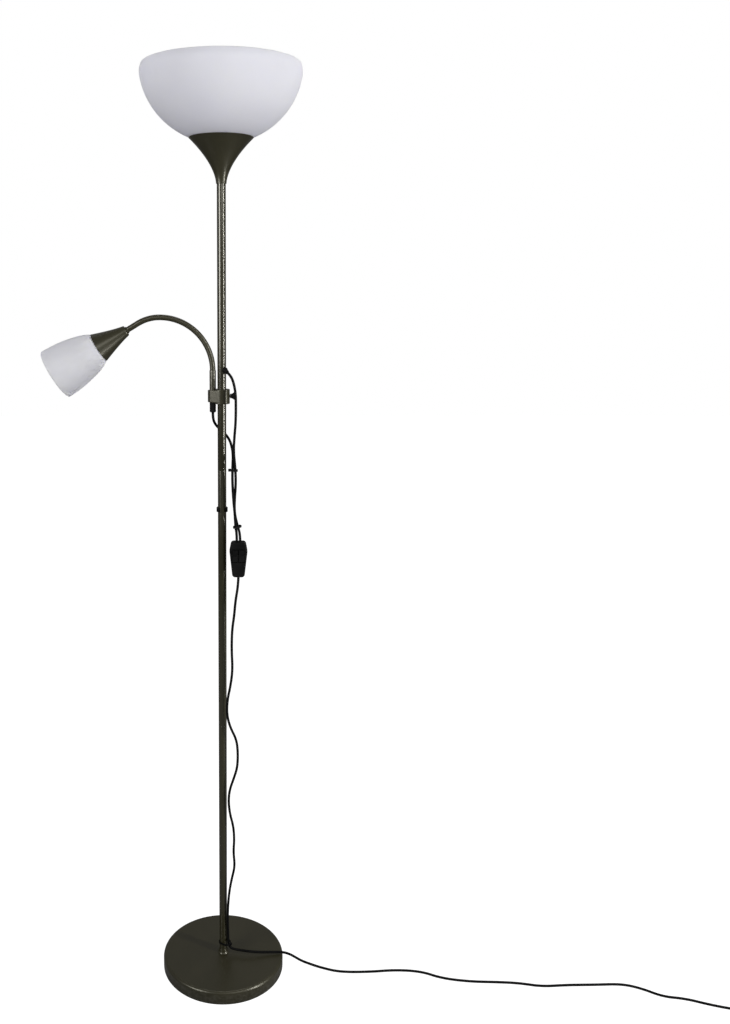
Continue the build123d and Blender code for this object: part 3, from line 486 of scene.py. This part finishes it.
# %% Rub: wear where the "edge" attribute is near 1
rub, rub_in, rub_out = node_group("rub", [("Amount", 0.5), ("Cells", 160.0)], ["Worn"])
edge_of = rub.nodes.new("ShaderNodeAttribute")
edge_of.attribute_name = "edge"
patchy = remap(rub, noise(rub, rub_in.outputs["Cells"], detail=4.0), 0.35, 0.7)
worn = maths(rub, "MULTIPLY", edge_of.outputs["Fac"], patchy)
worn = maths(rub, "MULTIPLY", worn, rub_in.outputs["Amount"])
rub.links.new(worn, rub_out.inputs["Worn"])

# %% Grain: the fine texture of moulded plastic and rubber
grain, grain_in, grain_out = node_group("grain", [("Cells", 1500.0)], ["Grain", "Height"])
pits = noise(grain, grain_in.outputs["Cells"], detail=2.0, roughness=0.6)
smear = noise(grain, 30.0, detail=2.0)
grain.links.new(remap(grain, smear, 0.3, 0.7), grain_out.inputs["Grain"])
grain.links.new(pits, grain_out.inputs["Height"])
print("shader groups:", [tree.name for tree in bpy.data.node_groups])

# %% A finish from its groups


def place(tree, shared, **numbers):
    """A shared group in a material, with its own numbers."""
    node = tree.nodes.new("ShaderNodeGroup")
    node.node_tree = shared
    for label, number in numbers.items():
        node.inputs[label.replace("_", " ")].default_value = number
    return node


def blend_colours(tree, factor, low, high):
    """low where the factor is 0 and high where it is 1."""
    node = tree.nodes.new("ShaderNodeMix")
    node.data_type = "RGBA"
    tree.links.new(factor, node.inputs["Factor"])
    for socket, colour in ((node.inputs[6], low), (node.inputs[7], high)):
        if isinstance(colour, tuple):
            socket.default_value = (*colour, 1)
        else:
            tree.links.new(colour, socket)
    return node.outputs[2]


def finish(name, **fixed):
    """A material with one Principled shader, and the sockets that are the same all over."""
    material = bpy.data.materials.new(name)
    material.use_nodes = True
    shader = material.node_tree.nodes["Principled BSDF"]
    for label, value in fixed.items():
        shader.inputs[label.replace("_", " ")].default_value = value
    return material, material.node_tree, shader


def bumpy(tree, shader, height, strength, distance):
    """A Bump node between a height and the shader's normal. distance is in metres."""
    node = tree.nodes.new("ShaderNodeBump")
    node.inputs["Strength"].default_value = strength
    node.inputs["Distance"].default_value = distance
    tree.links.new(height, node.inputs["Height"])
    tree.links.new(node.outputs["Normal"], shader.inputs["Normal"])


def glossy(tree, shader, value, rough):
    """Roughness that goes from rough[0] to rough[1] as a value goes from 0 to 1."""
    gloss = remap(tree, value, 0, 1, rough[0], rough[1], smooth=False)
    tree.links.new(gloss, shader.inputs["Roughness"])


# %% [markdown]
# The metal is sprayed with a dark olive-grey metallic paint: satin, with a fine fleck, a
# faint drift of tone, and slightly brighter at the two edges that are rubbed, the foot's
# lowest one and the ferrule's top. The tubes' paint is glossier than the foot's.

# %% Frame paint


def sprayed(name, rough, coat, coat_rough):
    """The frame's paint, its roughness between two values as the tone drifts."""
    material, tree, shader = finish(
        name, Metallic=0.45, Coat_Weight=coat, Coat_Roughness=coat_rough
    )
    flecks = place(tree, fleck)
    rubbed = place(tree, rub, Amount=0.5)
    drift = flecks.outputs["Drift"]
    tone = blend_colours(tree, drift, (0.026, 0.024, 0.008), (0.034, 0.031, 0.011))
    tone = blend_colours(tree, flecks.outputs["Fleck"], tone, (0.056, 0.051, 0.03))
    tone = blend_colours(tree, rubbed.outputs["Worn"], tone, (0.17, 0.16, 0.13))
    tree.links.new(tone, shader.inputs["Base Color"])
    glossy(tree, shader, drift, rough)
    bumpy(tree, shader, flecks.outputs["Height"], 0.06, 0.0002)
    return material


paint = sprayed("frame_paint", (0.3, 0.36), 0.5, 0.34)
tube_paint = sprayed("tube_paint", (0.18, 0.22), 1.0, 0.2)

# %% [markdown]
# The black pieces are moulded: a matt grain, with a low sheen where the grain is smeared.

# %% Black plastic, lead jacket, rubber foot


def moulded(name, low, high, rough, cells, depth, **fixed):
    """A moulded finish: colour and roughness drift together, over a fine grain."""
    material, tree, shader = finish(name, **fixed)
    grains = place(tree, grain, Cells=cells)
    tree.links.new(
        blend_colours(tree, grains.outputs["Grain"], low, high), shader.inputs["Base Color"]
    )
    glossy(tree, shader, grains.outputs["Grain"], rough)
    bumpy(tree, shader, grains.outputs["Height"], 0.25, depth)
    return material


black = moulded(
    "black_plastic",
    (0.003, 0.003, 0.003),
    (0.006, 0.006, 0.006),
    (0.55, 0.68),
    1500.0,
    0.0003,
    Specular_IOR_Level=0.12,
)
jacket = moulded(
    "cord_jacket",
    (0.002, 0.002, 0.002),
    (0.005, 0.005, 0.005),
    (0.55, 0.68),
    900.0,
    0.0001,
    Specular_IOR_Level=0.08,
)
foot_pad = moulded("foot_pad", (0.03, 0.03, 0.03), (0.06, 0.06, 0.06), (0.85, 0.95), 700.0, 0.0006)
holder = moulded("holder", (0.6, 0.59, 0.55), (0.7, 0.69, 0.66), (0.32, 0.42), 1200.0, 0.0001)
cast = moulded("cast_weight", (0.1, 0.1, 0.1), (0.2, 0.2, 0.2), (0.7, 0.85), 500.0, 0.001)

# %% [markdown]
# Both shades are opal plastic, unlit: cool white, a little see-through, so light that enters
# one side is spread inside the wall. Subsurface scattering gives that softness.

# %% Opal
opal, tree, shader = finish(
    "opal",
    Subsurface_Weight=0.9,
    Subsurface_Radius=(0.014, 0.014, 0.016),
    Subsurface_Scale=1.0,
    IOR=1.4,
)
flecks = place(tree, fleck, Cells=900.0, Drift_cells=9.0)
tone = blend_colours(tree, flecks.outputs["Drift"], (0.68, 0.68, 0.79), (0.71, 0.71, 0.81))
tree.links.new(tone, shader.inputs["Base Color"])
glossy(tree, shader, flecks.outputs["Drift"], (0.58, 0.65))
bumpy(tree, shader, flecks.outputs["Height"], 0.05, 0.0002)

# %% Bulb glass
bulb_glass, tree, shader = finish("bulb_glass", Subsurface_Weight=0.3, IOR=1.5, Coat_Weight=0.3)
flecks = place(tree, fleck, Cells=1500.0, Drift_cells=30.0)
tone = blend_colours(tree, flecks.outputs["Drift"], (0.84, 0.83, 0.8), (0.88, 0.87, 0.84))
tree.links.new(tone, shader.inputs["Base Color"])
glossy(tree, shader, flecks.outputs["Fleck"], (0.22, 0.3))

# %% Bare metals


def bare_metal(name, low, high, rough):
    """A plated or drawn metal: fully metallic, its tone and gloss drifting a little."""
    material, tree, shader = finish(name, Metallic=1.0)
    flecks = place(tree, fleck, Cells=1800.0, Drift_cells=60.0)
    tree.links.new(
        blend_colours(tree, flecks.outputs["Drift"], low, high), shader.inputs["Base Color"]
    )
    glossy(tree, shader, flecks.outputs["Fleck"], rough)
    bumpy(tree, shader, flecks.outputs["Height"], 0.1, 0.0001)
    return material


zinc = bare_metal("zinc_steel", (0.52, 0.52, 0.5), (0.62, 0.62, 0.61), (0.25, 0.38))
brass = bare_metal("brass", (0.72, 0.56, 0.28), (0.8, 0.65, 0.36), (0.2, 0.32))

finishes = {
    "frame_paint": paint,
    "black_plastic": black,
    "cord_jacket": jacket,
    "opal": opal,
    "zinc_steel": zinc,
    "brass": brass,
    "cast_weight": cast,
    "foot_pad": foot_pad,
    "holder": holder,
    "bulb_glass": bulb_glass,
}


def dress(obj, slot, variant=None):
    """Gives a piece its finish, or a variant of it, under the record's name for it."""
    obj.data.materials.clear()
    obj.data.materials.append(variant or finishes[slot])


for node, obj in frame["nodes"].items():
    for holder_slot in obj.material_slots:
        holder_slot.material = finishes[slot_of[node]]
for lead in (uplight_lead, arm_lead_upper, arm_lead_lower, mains_lead):
    dress(lead, "cord_jacket")
print("finishes:", sorted(finishes))

# %% [markdown]
# ## Turned pieces
# Most of the lamp is round: shades, cups, tubes, the foot. Such a piece is its profile, carried
# round an axis. Sharp corners catch no light, so each corner of a profile is eased first.

# %% Profiles and what they sweep
CORNER_STEPS = 4
RIBBED_SHARE = 0.8  # ribs are cut only where a profile is wider than this share of its widest


def eased(profile, radius, closed=True):
    """Rounds a profile's corners. Corner P becomes (1-t)^2 A + 2t(1-t) P + t^2 B, where A
    and B stand a radius from it along its two sides, or just under half a side."""
    corner = np.asarray(profile, float)

    def towards(other):
        gap = other - corner
        size = np.maximum(np.linalg.norm(gap, axis=1), 1e-9)
        return corner + gap * np.minimum(np.asarray(radius) / size, 0.48)[:, None]

    a = towards(np.roll(corner, 1, axis=0))[:, None]
    b = towards(np.roll(corner, -1, axis=0))[:, None]
    t = np.linspace(0, 1, CORNER_STEPS + 1)[None, :, None]
    curve = (1 - t) ** 2 * a + 2 * t * (1 - t) * corner[:, None] + t**2 * b
    if closed:
        return curve.reshape(-1, 2)
    return np.vstack([corner[:1], curve[1:-1].reshape(-1, 2), corner[-1:]])


def rounded_lip(radius, height, lip_r, steps):
    """The half circle over a wall's edge, whose outermost point is at radius and whose top is
    at height, without its two ends."""
    swing = np.linspace(0, np.pi, steps + 1)[1:-1]
    return np.column_stack(
        [radius - lip_r + lip_r * np.cos(swing), height - lip_r + lip_r * np.sin(swing)]
    )


def turned(
    name, profile, origin=(0, 0, 0), axis=(0, 0, 1), around=96, ribs=0, rib_depth=0.0, edge=None
):
    """A profile of (radius, height) pairs carried round an axis: the point at angle a is
    origin + height * axis + radius * (cos a * side + sin a * front), less a rib's
    depth * (1 - cos(ribs * a)) / 2. A profile that starts and ends on the axis closes there,
    and any other is a ring that closes on itself."""
    profile = np.asarray(profile, float)
    axis = unit(axis)
    side = unit(np.cross((0, 1, 0), axis))
    front = np.cross(axis, side)
    angle = np.linspace(0, 2 * np.pi, around, endpoint=False)
    poles = profile[0, 0] < 1e-6 and profile[-1, 0] < 1e-6
    rows = profile[1:-1] if poles else profile
    ribbed = rows[:, :1] > RIBBED_SHARE * rows[:, 0].max()
    reach = rows[:, :1] - rib_depth * (1 - np.cos(ribs * angle)) / 2 * ribbed
    out = np.cos(angle)[:, None] * side + np.sin(angle)[:, None] * front
    grid = np.asarray(origin) + rows[:, 1, None, None] * axis + reach[:, :, None] * out
    ends = None
    if poles:
        ends = (np.asarray(origin) + profile[[0, -1], 1:] * axis) * MM
    return skin(name, grid * MM, ring=not poles, ends=ends, edge=edge)


def ready(obj, body, slot, *nodes, variant=None):
    """Rides the piece on its body, gives it its finish and hides the CAD nodes it replaces."""
    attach(obj, body)
    dress(obj, slot, variant)
    if nodes:
        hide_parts(*nodes)
    print(obj.name, len(obj.data.polygons), "faces")


# %% [markdown]
# The bowl is half an ellipse turned round the pole's axis, 282 mm across, with a rounded lip
# that is tucked in by 3 mm. The ellipse is 126 mm deep, and the hole at its bottom takes just
# over 1 mm off that. The wall is 3 mm thick, so it needs an inner and an outer surface.

# %% Bowl
LAMP_H = 1760.0
BOWL_R, BOWL_DEPTH, BOWL_T, BOWL_HOLE_R = 141.0, 126.0, 3.0, 21.0
LIP_FALL, LIP_TUCK = 16.0, 3.2


def bowl_wall(radius, depth, lip):
    """Points of the ellipse (r / radius)^2 + (fall / depth)^2 = 1, from the hole to the lip.
    Over its last stretch the wall tucks in by the square of how near it is to the lip."""
    start = np.arccos(BOWL_HOLE_R / radius)
    angle = np.linspace(start, np.arcsin(lip / depth), 72)
    fall = depth * np.sin(angle)
    near_lip = np.clip(1 - (fall - lip) / LIP_FALL, 0, 1)
    return np.column_stack([radius * np.cos(angle) - LIP_TUCK * near_lip**2, LAMP_H - fall])


lip_r = BOWL_T / 2
outer = bowl_wall(BOWL_R, BOWL_DEPTH, lip_r)
inner = bowl_wall(BOWL_R - BOWL_T, BOWL_DEPTH - BOWL_T, lip_r)
lip = rounded_lip(BOWL_R - LIP_TUCK, LAMP_H, lip_r, 12)
bowl = turned("bowl", np.vstack([outer, lip, inner[::-1]]), around=160)
ready(bowl, "root", "opal", "uplight_shade")

# %% [markdown]
# The trumpet cup under the bowl is spun sheet. Its radius grows as a power of the height,
# which gives the long slender foot and the quick flare.

# %% Uplight's cup
CUP_Z = (1567.5, 1643.2)
CUP_R = (9.3, 56.6)
CUP_CURVE, CUP_T = 1.68, 1.0
POLE_TOP_Z, CUP_FLOOR_Z = 1575.0, 1577.0
NIPPLE_HOLE_R, POLE_FIT_R = 5.1, 8.05


def flare(share, radii, power):
    """Small radius plus the difference times share to a power."""
    return radii[0] + (radii[1] - radii[0]) * np.clip(share, 0, 1) ** power


def sheet_inside(outer):
    """Each point of a cup's outer profile, moved inwards square to it by the sheet."""
    slope = np.gradient(outer[:, 0], outer[:, 1])
    inward = np.column_stack([-np.ones_like(slope), slope]) / np.hypot(1, slope)[:, None]
    return outer + CUP_T * inward


share = np.linspace(0, 1, 60)
outer = np.column_stack([flare(share, CUP_R, CUP_CURVE), CUP_Z[0] + share * (CUP_Z[1] - CUP_Z[0])])
inner = sheet_inside(outer)
inner = inner[inner[:, 1] > CUP_FLOOR_Z + 1.0]
foot = [
    (NIPPLE_HOLE_R, CUP_FLOOR_Z),
    (NIPPLE_HOLE_R, POLE_TOP_Z),
    (POLE_FIT_R, POLE_TOP_Z),
    (POLE_FIT_R, CUP_Z[0]),
]
uplight_cup = turned("trumpet_cup", np.vstack([outer, inner[::-1], foot]), around=128)
ready(uplight_cup, "root", "frame_paint", "uplight_cup")

# %% [markdown]
# Inside the bowl stand the lampholder, a ribbed ring that screws the bowl down, and an opal
# globe bulb. The bulb's glass is a sphere with a cone that meets it without a corner.

# %% Bulbs and shade rings
BULB_ROWS = 48


def bulb_profile(neck_r, neck_s, globe_r, globe_s):
    """From the middle of the neck out, up a cone that touches the globe, and over its top."""
    away = np.hypot(neck_r, globe_s - neck_s)
    touch = np.arctan2(neck_s - globe_s, neck_r) + np.arccos(globe_r / away)
    angle = np.linspace(touch, np.pi / 2, BULB_ROWS)
    globe = np.column_stack([globe_r * np.cos(angle), globe_s + globe_r * np.sin(angle)])
    globe[-1, 0] = 0
    return np.vstack([[(0, neck_s), (neck_r, neck_s)], globe])


def ring_profile(inner_r, outer_r, low, high, corner=0.7):
    """A ring's or a tube's section with eased corners."""
    return eased([(inner_r, low), (outer_r, low), (outer_r, high), (inner_r, high)], corner)


HOLDER_TOP_Z = 1648.0
uplight_bulb = turned("globe_bulb", bulb_profile(13.2, HOLDER_TOP_Z + 0.2, 30.0, 1700.0))
ready(uplight_bulb, "root", "bulb_glass", "uplight_bulb_glass")

bowl_seat_z = LAMP_H - BOWL_DEPTH * np.sqrt(1 - (BOWL_HOLE_R / BOWL_R) ** 2)
ring_low = bowl_seat_z + BOWL_T + 1.6
bowl_ring = turned(
    "bowl_ring",
    ring_profile(19.5, 27.0, ring_low, ring_low + 6.0),
    around=288,
    ribs=36,
    rib_depth=1.0,
)
ready(bowl_ring, "root", "holder", "uplight_shade_ring")

# %% [markdown]
# The pole is three tubes, 16 mm across, pushed together over inner sleeves. Each end is
# slightly rounded, so the joints read as fine dark lines.

# %% Pole, collar and foot
POLE_R, POLE_WALL = 8.0, 0.8
BASE_R, BASE_H, BASE_EDGE_R, SHEET_T = 125.0, 27.5, 6.0, 1.2
JOINTS_Z = (543.0, 1057.0)
TUBE_CORNER_R = 0.35

for node, low, high in (
    ("pole_lower", BASE_H, JOINTS_Z[0]),
    ("pole_middle", JOINTS_Z[0], JOINTS_Z[1]),
    ("pole_upper", JOINTS_Z[1], POLE_TOP_Z),
):
    section = ring_profile(POLE_R - POLE_WALL, POLE_R, low, high, TUBE_CORNER_R)
    piece = turned(node + "_tube", section, around=64)
    ready(piece, "root", "frame_paint", node, variant=tube_paint)

collar = eased(
    [
        (POLE_FIT_R, BASE_H),
        (11.6, BASE_H),
        (11.6, BASE_H + 1.0),
        (9.7, BASE_H + 3.4),
        (9.0, BASE_H + 9.5),
        (POLE_FIT_R, BASE_H + 9.5),
    ],
    [0.2, 0.3, 1.0, 3.0, 0.4, 0.2],
)
ready(turned("collar", collar, around=64), "root", "frame_paint", "foot_collar")

# %% [markdown]
# The foot is a pressed lid over a cast weight: flat on top, with a rolled edge of 6 mm that
# catches one long highlight. The weight and the pad below it stay as the CAD model has them.

# %% Foot
LID_FOOT_Z = 0.6
roll = np.linspace(0, np.pi / 2, 20)[:, None]
turn_of = np.hstack([np.cos(roll), np.sin(roll)])
middle = np.array([BASE_R - BASE_EDGE_R, BASE_H - BASE_EDGE_R])
over = middle + BASE_EDGE_R * turn_of
under = middle + (BASE_EDGE_R - SHEET_T) * turn_of
rings = np.array([118.4, 100.0, 60.0, 20.0, 5.3])[:, None]
top = np.hstack([rings, np.full_like(rings, BASE_H)])
below = np.hstack([rings, np.full_like(rings, BASE_H - SHEET_T)])
lid_outside = [(BASE_R - 0.2, LID_FOOT_Z), (BASE_R, 0.9)]
lid_inside = [(BASE_R - SHEET_T, LID_FOOT_Z)]
lid = np.vstack([lid_outside, over, top, below[::-1], under[::-1], lid_inside])
worn_edge = np.zeros(len(lid))
worn_edge[:3] = 0.5
foot_lid = turned("foot_lid", lid, around=192, edge=worn_edge[:, None])
ready(foot_lid, "root", "frame_paint", "base_cover")

# %% [markdown]
# ## The reading arm
# The flexible neck is wound steel hose. Ten joints bend it, so it is ten lengths of hose, each
# from the middle of one link to the middle of the next.
# At rest each length is a parabola whose control point is its joint.

# %% Where the neck's joints are
HOSE_R, FERRULE_R = 5.2, 5.9
FERRULE_TOP_Z = 1242.7
NECK_JOINTS, HEAD_TILT = 10, 31.0
RISE_R, FALL_R = 95.0, 78.0
NECK_END_LEN = 32.3

step_turn = np.radians((90 + HEAD_TILT) / NECK_JOINTS)
heading = step_turn * np.arange(NECK_JOINTS + 1)
along = np.column_stack([-np.sin(heading), np.zeros(NECK_JOINTS + 1), np.cos(heading)])
half_run = np.where(heading < np.pi / 2, RISE_R, FALL_R) * np.tan(step_turn / 2)
first_joint = np.array([ARM_X, 0, FERRULE_TOP_Z + half_run[0]])
joints = first_joint + np.vstack(
    [np.zeros(3), np.cumsum(2 * half_run[1:NECK_JOINTS, None] * along[1:NECK_JOINTS], axis=0)]
)
middles = np.vstack([[ARM_X, 0, FERRULE_TOP_Z], joints + half_run[1:, None] * along[1:]])
head_dir = along[-1]
head_foot = joints[-1] + NECK_END_LEN * head_dir
print("head's cup starts at", head_foot.round(2))

# %% Hose
RIB_PITCH, RIB_DEPTH = 2.0, 0.14
PER_RIB = 8


def hose_radius(ribs):
    """The hose's radius less a groove: depth * (1 - cos(2 pi t * ribs)) / 2 for t in 0..1."""
    wave = (1 - np.cos(2 * np.pi * np.linspace(0, ribs, ribs * PER_RIB + 1))) / 2
    return HOSE_R - RIB_DEPTH * wave


for number, joint in enumerate(joints):
    start, end = middles[number], middles[number + 1]
    ribs = int(round((np.linalg.norm(joint - start) + np.linalg.norm(end - joint)) / RIB_PITCH))
    radius = hose_radius(ribs)
    t = np.linspace(0, 1, ribs * PER_RIB + 1)[:, None]
    line = (1 - t) ** 2 * start + 2 * t * (1 - t) * joint + t**2 * end
    hose = tube(f"hose_{number}", line * MM, radius * MM, (0, 1, 0), around=32)
    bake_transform(hose)
    dress(hose, "frame_paint")
    if number:
        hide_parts(f"neck_link_{number}")

END_RIBS, END_GAP = 9, 2.2  # the last straight length stops this far short of the head's cup
end_line = np.linspace(middles[-1], head_foot - END_GAP * head_dir, END_RIBS * PER_RIB + 1)
hose_end = tube("hose_end", end_line * MM, hose_radius(END_RIBS) * MM, (0, 1, 0), around=32)
ready(hose_end, "head", "frame_paint", "neck_end")

# %% [markdown]
# A plain tube stands in the clamp and carries the hose. The hose's other end is pinned in a
# small collar at the head's cup.

# %% Ferrule, collar
FERRULE_Z = 1189.0
ferrule = eased(
    [
        (0, FERRULE_Z),
        (FERRULE_R, FERRULE_Z),
        (FERRULE_R, FERRULE_TOP_Z),
        (HOSE_R - 0.2, FERRULE_TOP_Z + 0.3),
        (0, FERRULE_TOP_Z + 0.3),
    ],
    0.35,
    closed=False,
)
worn_top = np.zeros((len(ferrule) - 2, 1))
worn_top[-12:-4] = 0.9
ready(
    turned("ferrule", ferrule, origin=(ARM_X, 0, 0), around=48, edge=worn_top),
    "clamp",
    "frame_paint",
    "neck_ferrule",
)
end_collar = eased([(0, -3.0), (6.2, -3.0), (6.6, 0.2), (0, 0.2)], 0.5, closed=False)
ready(turned("end_collar", end_collar, head_foot, head_dir, around=48), "head", "frame_paint")

# %% [markdown]
# The head is a spun cup and an opal bell that stands inside it. The bell's wall swells as a
# power of a sine, steep at first and straight at its mouth.

# %% Head's cup and shade
HEAD_CUP_LEN, HEAD_CUP_R, HEAD_CUP_CURVE = 59.0, (9.7, 27.3), 1.2
SHADE_R, SHADE_S = (25.6, 47.4), (56.0, 153.5)
SHADE_CURVE, SHADE_T = 0.63, 2.5
SHADE_HOLE_R = 13.8

share = np.linspace(0, 1, 40)
outer = np.column_stack([flare(share, HEAD_CUP_R, HEAD_CUP_CURVE), share * HEAD_CUP_LEN])
inner = sheet_inside(outer)[2:]
small_end = [(4.9, 2.0), (4.9, 0.0), (HEAD_CUP_R[0] - 0.5, 0.0)]
section = np.vstack([outer[1:], inner[::-1], small_end])
head_cup = turned("head_cup_shell", section, head_foot, head_dir, around=96)
ready(head_cup, "head", "frame_paint", "head_cup")

swell_foot = HEAD_CUP_LEN + 0.2
share = np.linspace(0, 1, 64) ** 1.8
outer_r = SHADE_R[0] + (SHADE_R[1] - SHADE_R[0]) * np.sin(np.pi / 2 * share) ** SHADE_CURVE
outer_s = swell_foot + share * (SHADE_S[1] - swell_foot)
inner_r = outer_r - SHADE_T
inner_s = outer_s + SHADE_T * (1 - share)
mouth_r = SHADE_T / 2
wall_out = np.column_stack([outer_r, np.minimum(outer_s, SHADE_S[1] - mouth_r)])
wall_in = np.column_stack([inner_r, np.minimum(inner_s, SHADE_S[1] - mouth_r)])
mouth_lip = rounded_lip(SHADE_R[1], SHADE_S[1], mouth_r, 8)
shade_floor = [
    (22.0, SHADE_S[0] + SHADE_T),
    (SHADE_HOLE_R, SHADE_S[0] + SHADE_T),
    (SHADE_HOLE_R, SHADE_S[0]),
    (23.6, SHADE_S[0]),
    (24.5, SHADE_S[0] + 0.8),
]
bell = np.vstack([wall_out, mouth_lip, wall_in[::-1], shade_floor])
bell_shade = turned("bell_shade", bell, head_foot, head_dir, around=128)
ready(bell_shade, "head", "opal", "head_shade")

# %% Reading bulb and ring
HEAD_HOLDER_S = 65.0
reading_bulb = turned(
    "reading_bulb", bulb_profile(7.4, HEAD_HOLDER_S + 0.2, 22.5, 95.0), head_foot, head_dir
)
ready(reading_bulb, "head", "bulb_glass", "head_bulb_glass")
reading_ring = turned(
    "reading_ring",
    ring_profile(13.6, 20.0, SHADE_S[0] + SHADE_T + 0.2, SHADE_S[0] + SHADE_T + 5.0),
    head_foot,
    head_dir,
    around=240,
    ribs=30,
    rib_depth=0.9,
)
ready(reading_ring, "head", "holder", "head_shade_ring")

# %% [markdown]
# ## Small black parts
# The thumb screw's knob is a spool with eight scallops. The gland and the bush are ribbed
# rubber sleeves that keep a lead from kinking where it leaves the metal.

# %% Knob
SCREW_Z = 1196.0
KNOB_X = (15.2, 26.4)
KNOB_R = 7.0
spool = eased(
    [
        (0, KNOB_X[0]),
        (4.4, KNOB_X[0]),
        (3.9, KNOB_X[0] + 1.4),
        (4.6, KNOB_X[0] + 4.0),
        (KNOB_R, KNOB_X[0] + 7.4),
        (KNOB_R, KNOB_X[1]),
        (0, KNOB_X[1]),
    ],
    [0, 0.4, 0.6, 1.0, 1.0, 1.1, 0],
    closed=False,
)
knob = turned(
    "thumb_knob", spool, (0, 0, SCREW_Z), (1, 0, 0), around=128, ribs=8, rib_depth=1.1
)
ready(knob, "knob", "black_plastic", "clamp_knob")

# %% Gland and bush
GROOVE_DEPTH = 0.3
GLAND_R, GLAND_BORE_R, GLAND_LEN = 5.9, 1.8, 22.5


def ribbed_cone(foot_r, tip_r, low, high, ribs):
    """A cone's wall from foot_r at low to tip_r at high with grooves across it: the radius is
    the cone's less depth * (1 - cos(2 pi share * ribs)) / 2."""
    share = np.linspace(0, 1, ribs * 10 + 1)
    groove = GROOVE_DEPTH * (1 - np.cos(2 * np.pi * share * ribs)) / 2
    radius = foot_r + (tip_r - foot_r) * share - groove
    return np.column_stack([radius, low + (high - low) * share])


gland_wall = np.vstack(
    [
        [(GLAND_BORE_R, 0), (4.0, 0.0), (4.9, 0.5), (5.5, 1.3), (5.8, 2.4)],
        ribbed_cone(GLAND_R, GLAND_R, 3.4, 15.0, 4),
        [(GLAND_R, GLAND_LEN), (GLAND_BORE_R, GLAND_LEN)],
    ]
)
gland = turned("arm_gland_boot", gland_wall, (ARM_X, 0, GLAND_Z), around=64)
ready(gland, "clamp", "black_plastic", "arm_gland")

bush = np.vstack(
    [
        eased([(LEAD_R, 8.2), (3.4, 8.2), (5.4, 8.4), (5.4, 11.2)], [0, 0, 0.4, 0.8])[4:-4],
        ribbed_cone(4.9, 3.6, 11.6, BUSH_LEN, 2),
        [(LEAD_R, BUSH_LEN)],
    ]
)
bush_boot = turned("bush_boot", bush, bush_foot, bush_axis, around=48)
ready(bush_boot, "root", "black_plastic", "exit_bush")

# %% [markdown]
# ## Studio
# The camera sees a white floor and a white world, which light the lamp only as pale grey. Five
# panels do the rest: two upright strips on the right, one over the other, a wide panel on the
# left, and weaker ones in front and above. The right and left ones draw a bright line down
# each side of the pole.

# %% Floor
floor_mesh = bpy.data.meshes.new("studio_floor")
floor_mesh.from_pydata([(-6, -5, 0), (7, -5, 0), (7, 9, 0), (-6, 9, 0)], [], [(0, 1, 2, 3)])
floor = bpy.data.objects.new("studio_floor", floor_mesh)
bpy.context.scene.collection.objects.link(floor)
floor_finish, tree, shader = finish(
    "studio_floor", Base_Color=(0.2, 0.2, 0.2, 1), Roughness=0.9, Emission_Strength=1.0
)
seen = tree.nodes.new("ShaderNodeLightPath").outputs["Is Camera Ray"]
tree.links.new(blend_colours(tree, seen, (0, 0, 0), (1, 1, 1)), shader.inputs["Emission Color"])
floor_mesh.materials.append(floor_finish)

# %% World and lights
world = bpy.data.worlds.new("studio")
world.use_nodes = True
bpy.context.scene.world = world
backdrop = world.node_tree.nodes["Background"]
ray = world.node_tree.nodes.new("ShaderNodeLightPath")
seen = blend_colours(world.node_tree, ray.outputs["Is Camera Ray"], (0.2, 0.2, 0.205), (1, 1, 1))
world.node_tree.links.new(seen, backdrop.inputs["Color"])


def soft_light(name, place, aim, size, watts):
    """A rectangular light, size = (width, height) in metres, that faces a point."""
    data = bpy.data.lights.new(name, "AREA")
    data.shape = "RECTANGLE"
    data.size, data.size_y = size
    data.energy = watts
    light = bpy.data.objects.new(name, data)
    bpy.context.scene.collection.objects.link(light)
    facing = np.asarray(aim, float) - place
    light.location = place
    light.rotation_euler = (
        np.arctan2(np.hypot(facing[0], facing[1]), -facing[2]),
        0,
        np.arctan2(-facing[0], facing[1]),
    )


soft_light("right_light", (2.1, -1.2, 1.9), (0, 0, 1.4), (0.14, 1.6), 32)
soft_light("right_low_light", (2.1, -1.2, 0.62), (0, 0, 0.8), (0.14, 1.0), 24)
soft_light("left_light", (-1.9, -1.7, 1.7), (0, 0, 1.4), (1.2, 1.3), 40)
soft_light("front_light", (0.9, -2.5, 2.4), (0, 0, 1.4), (1.0, 0.9), 10)
soft_light("over_light", (0.15, 1.1, 3.1), (0, 0, 0.4), (1.4, 0.5), 7)
bpy.context.scene.view_settings.view_transform = "Standard"

bpy.context.view_layer.update()
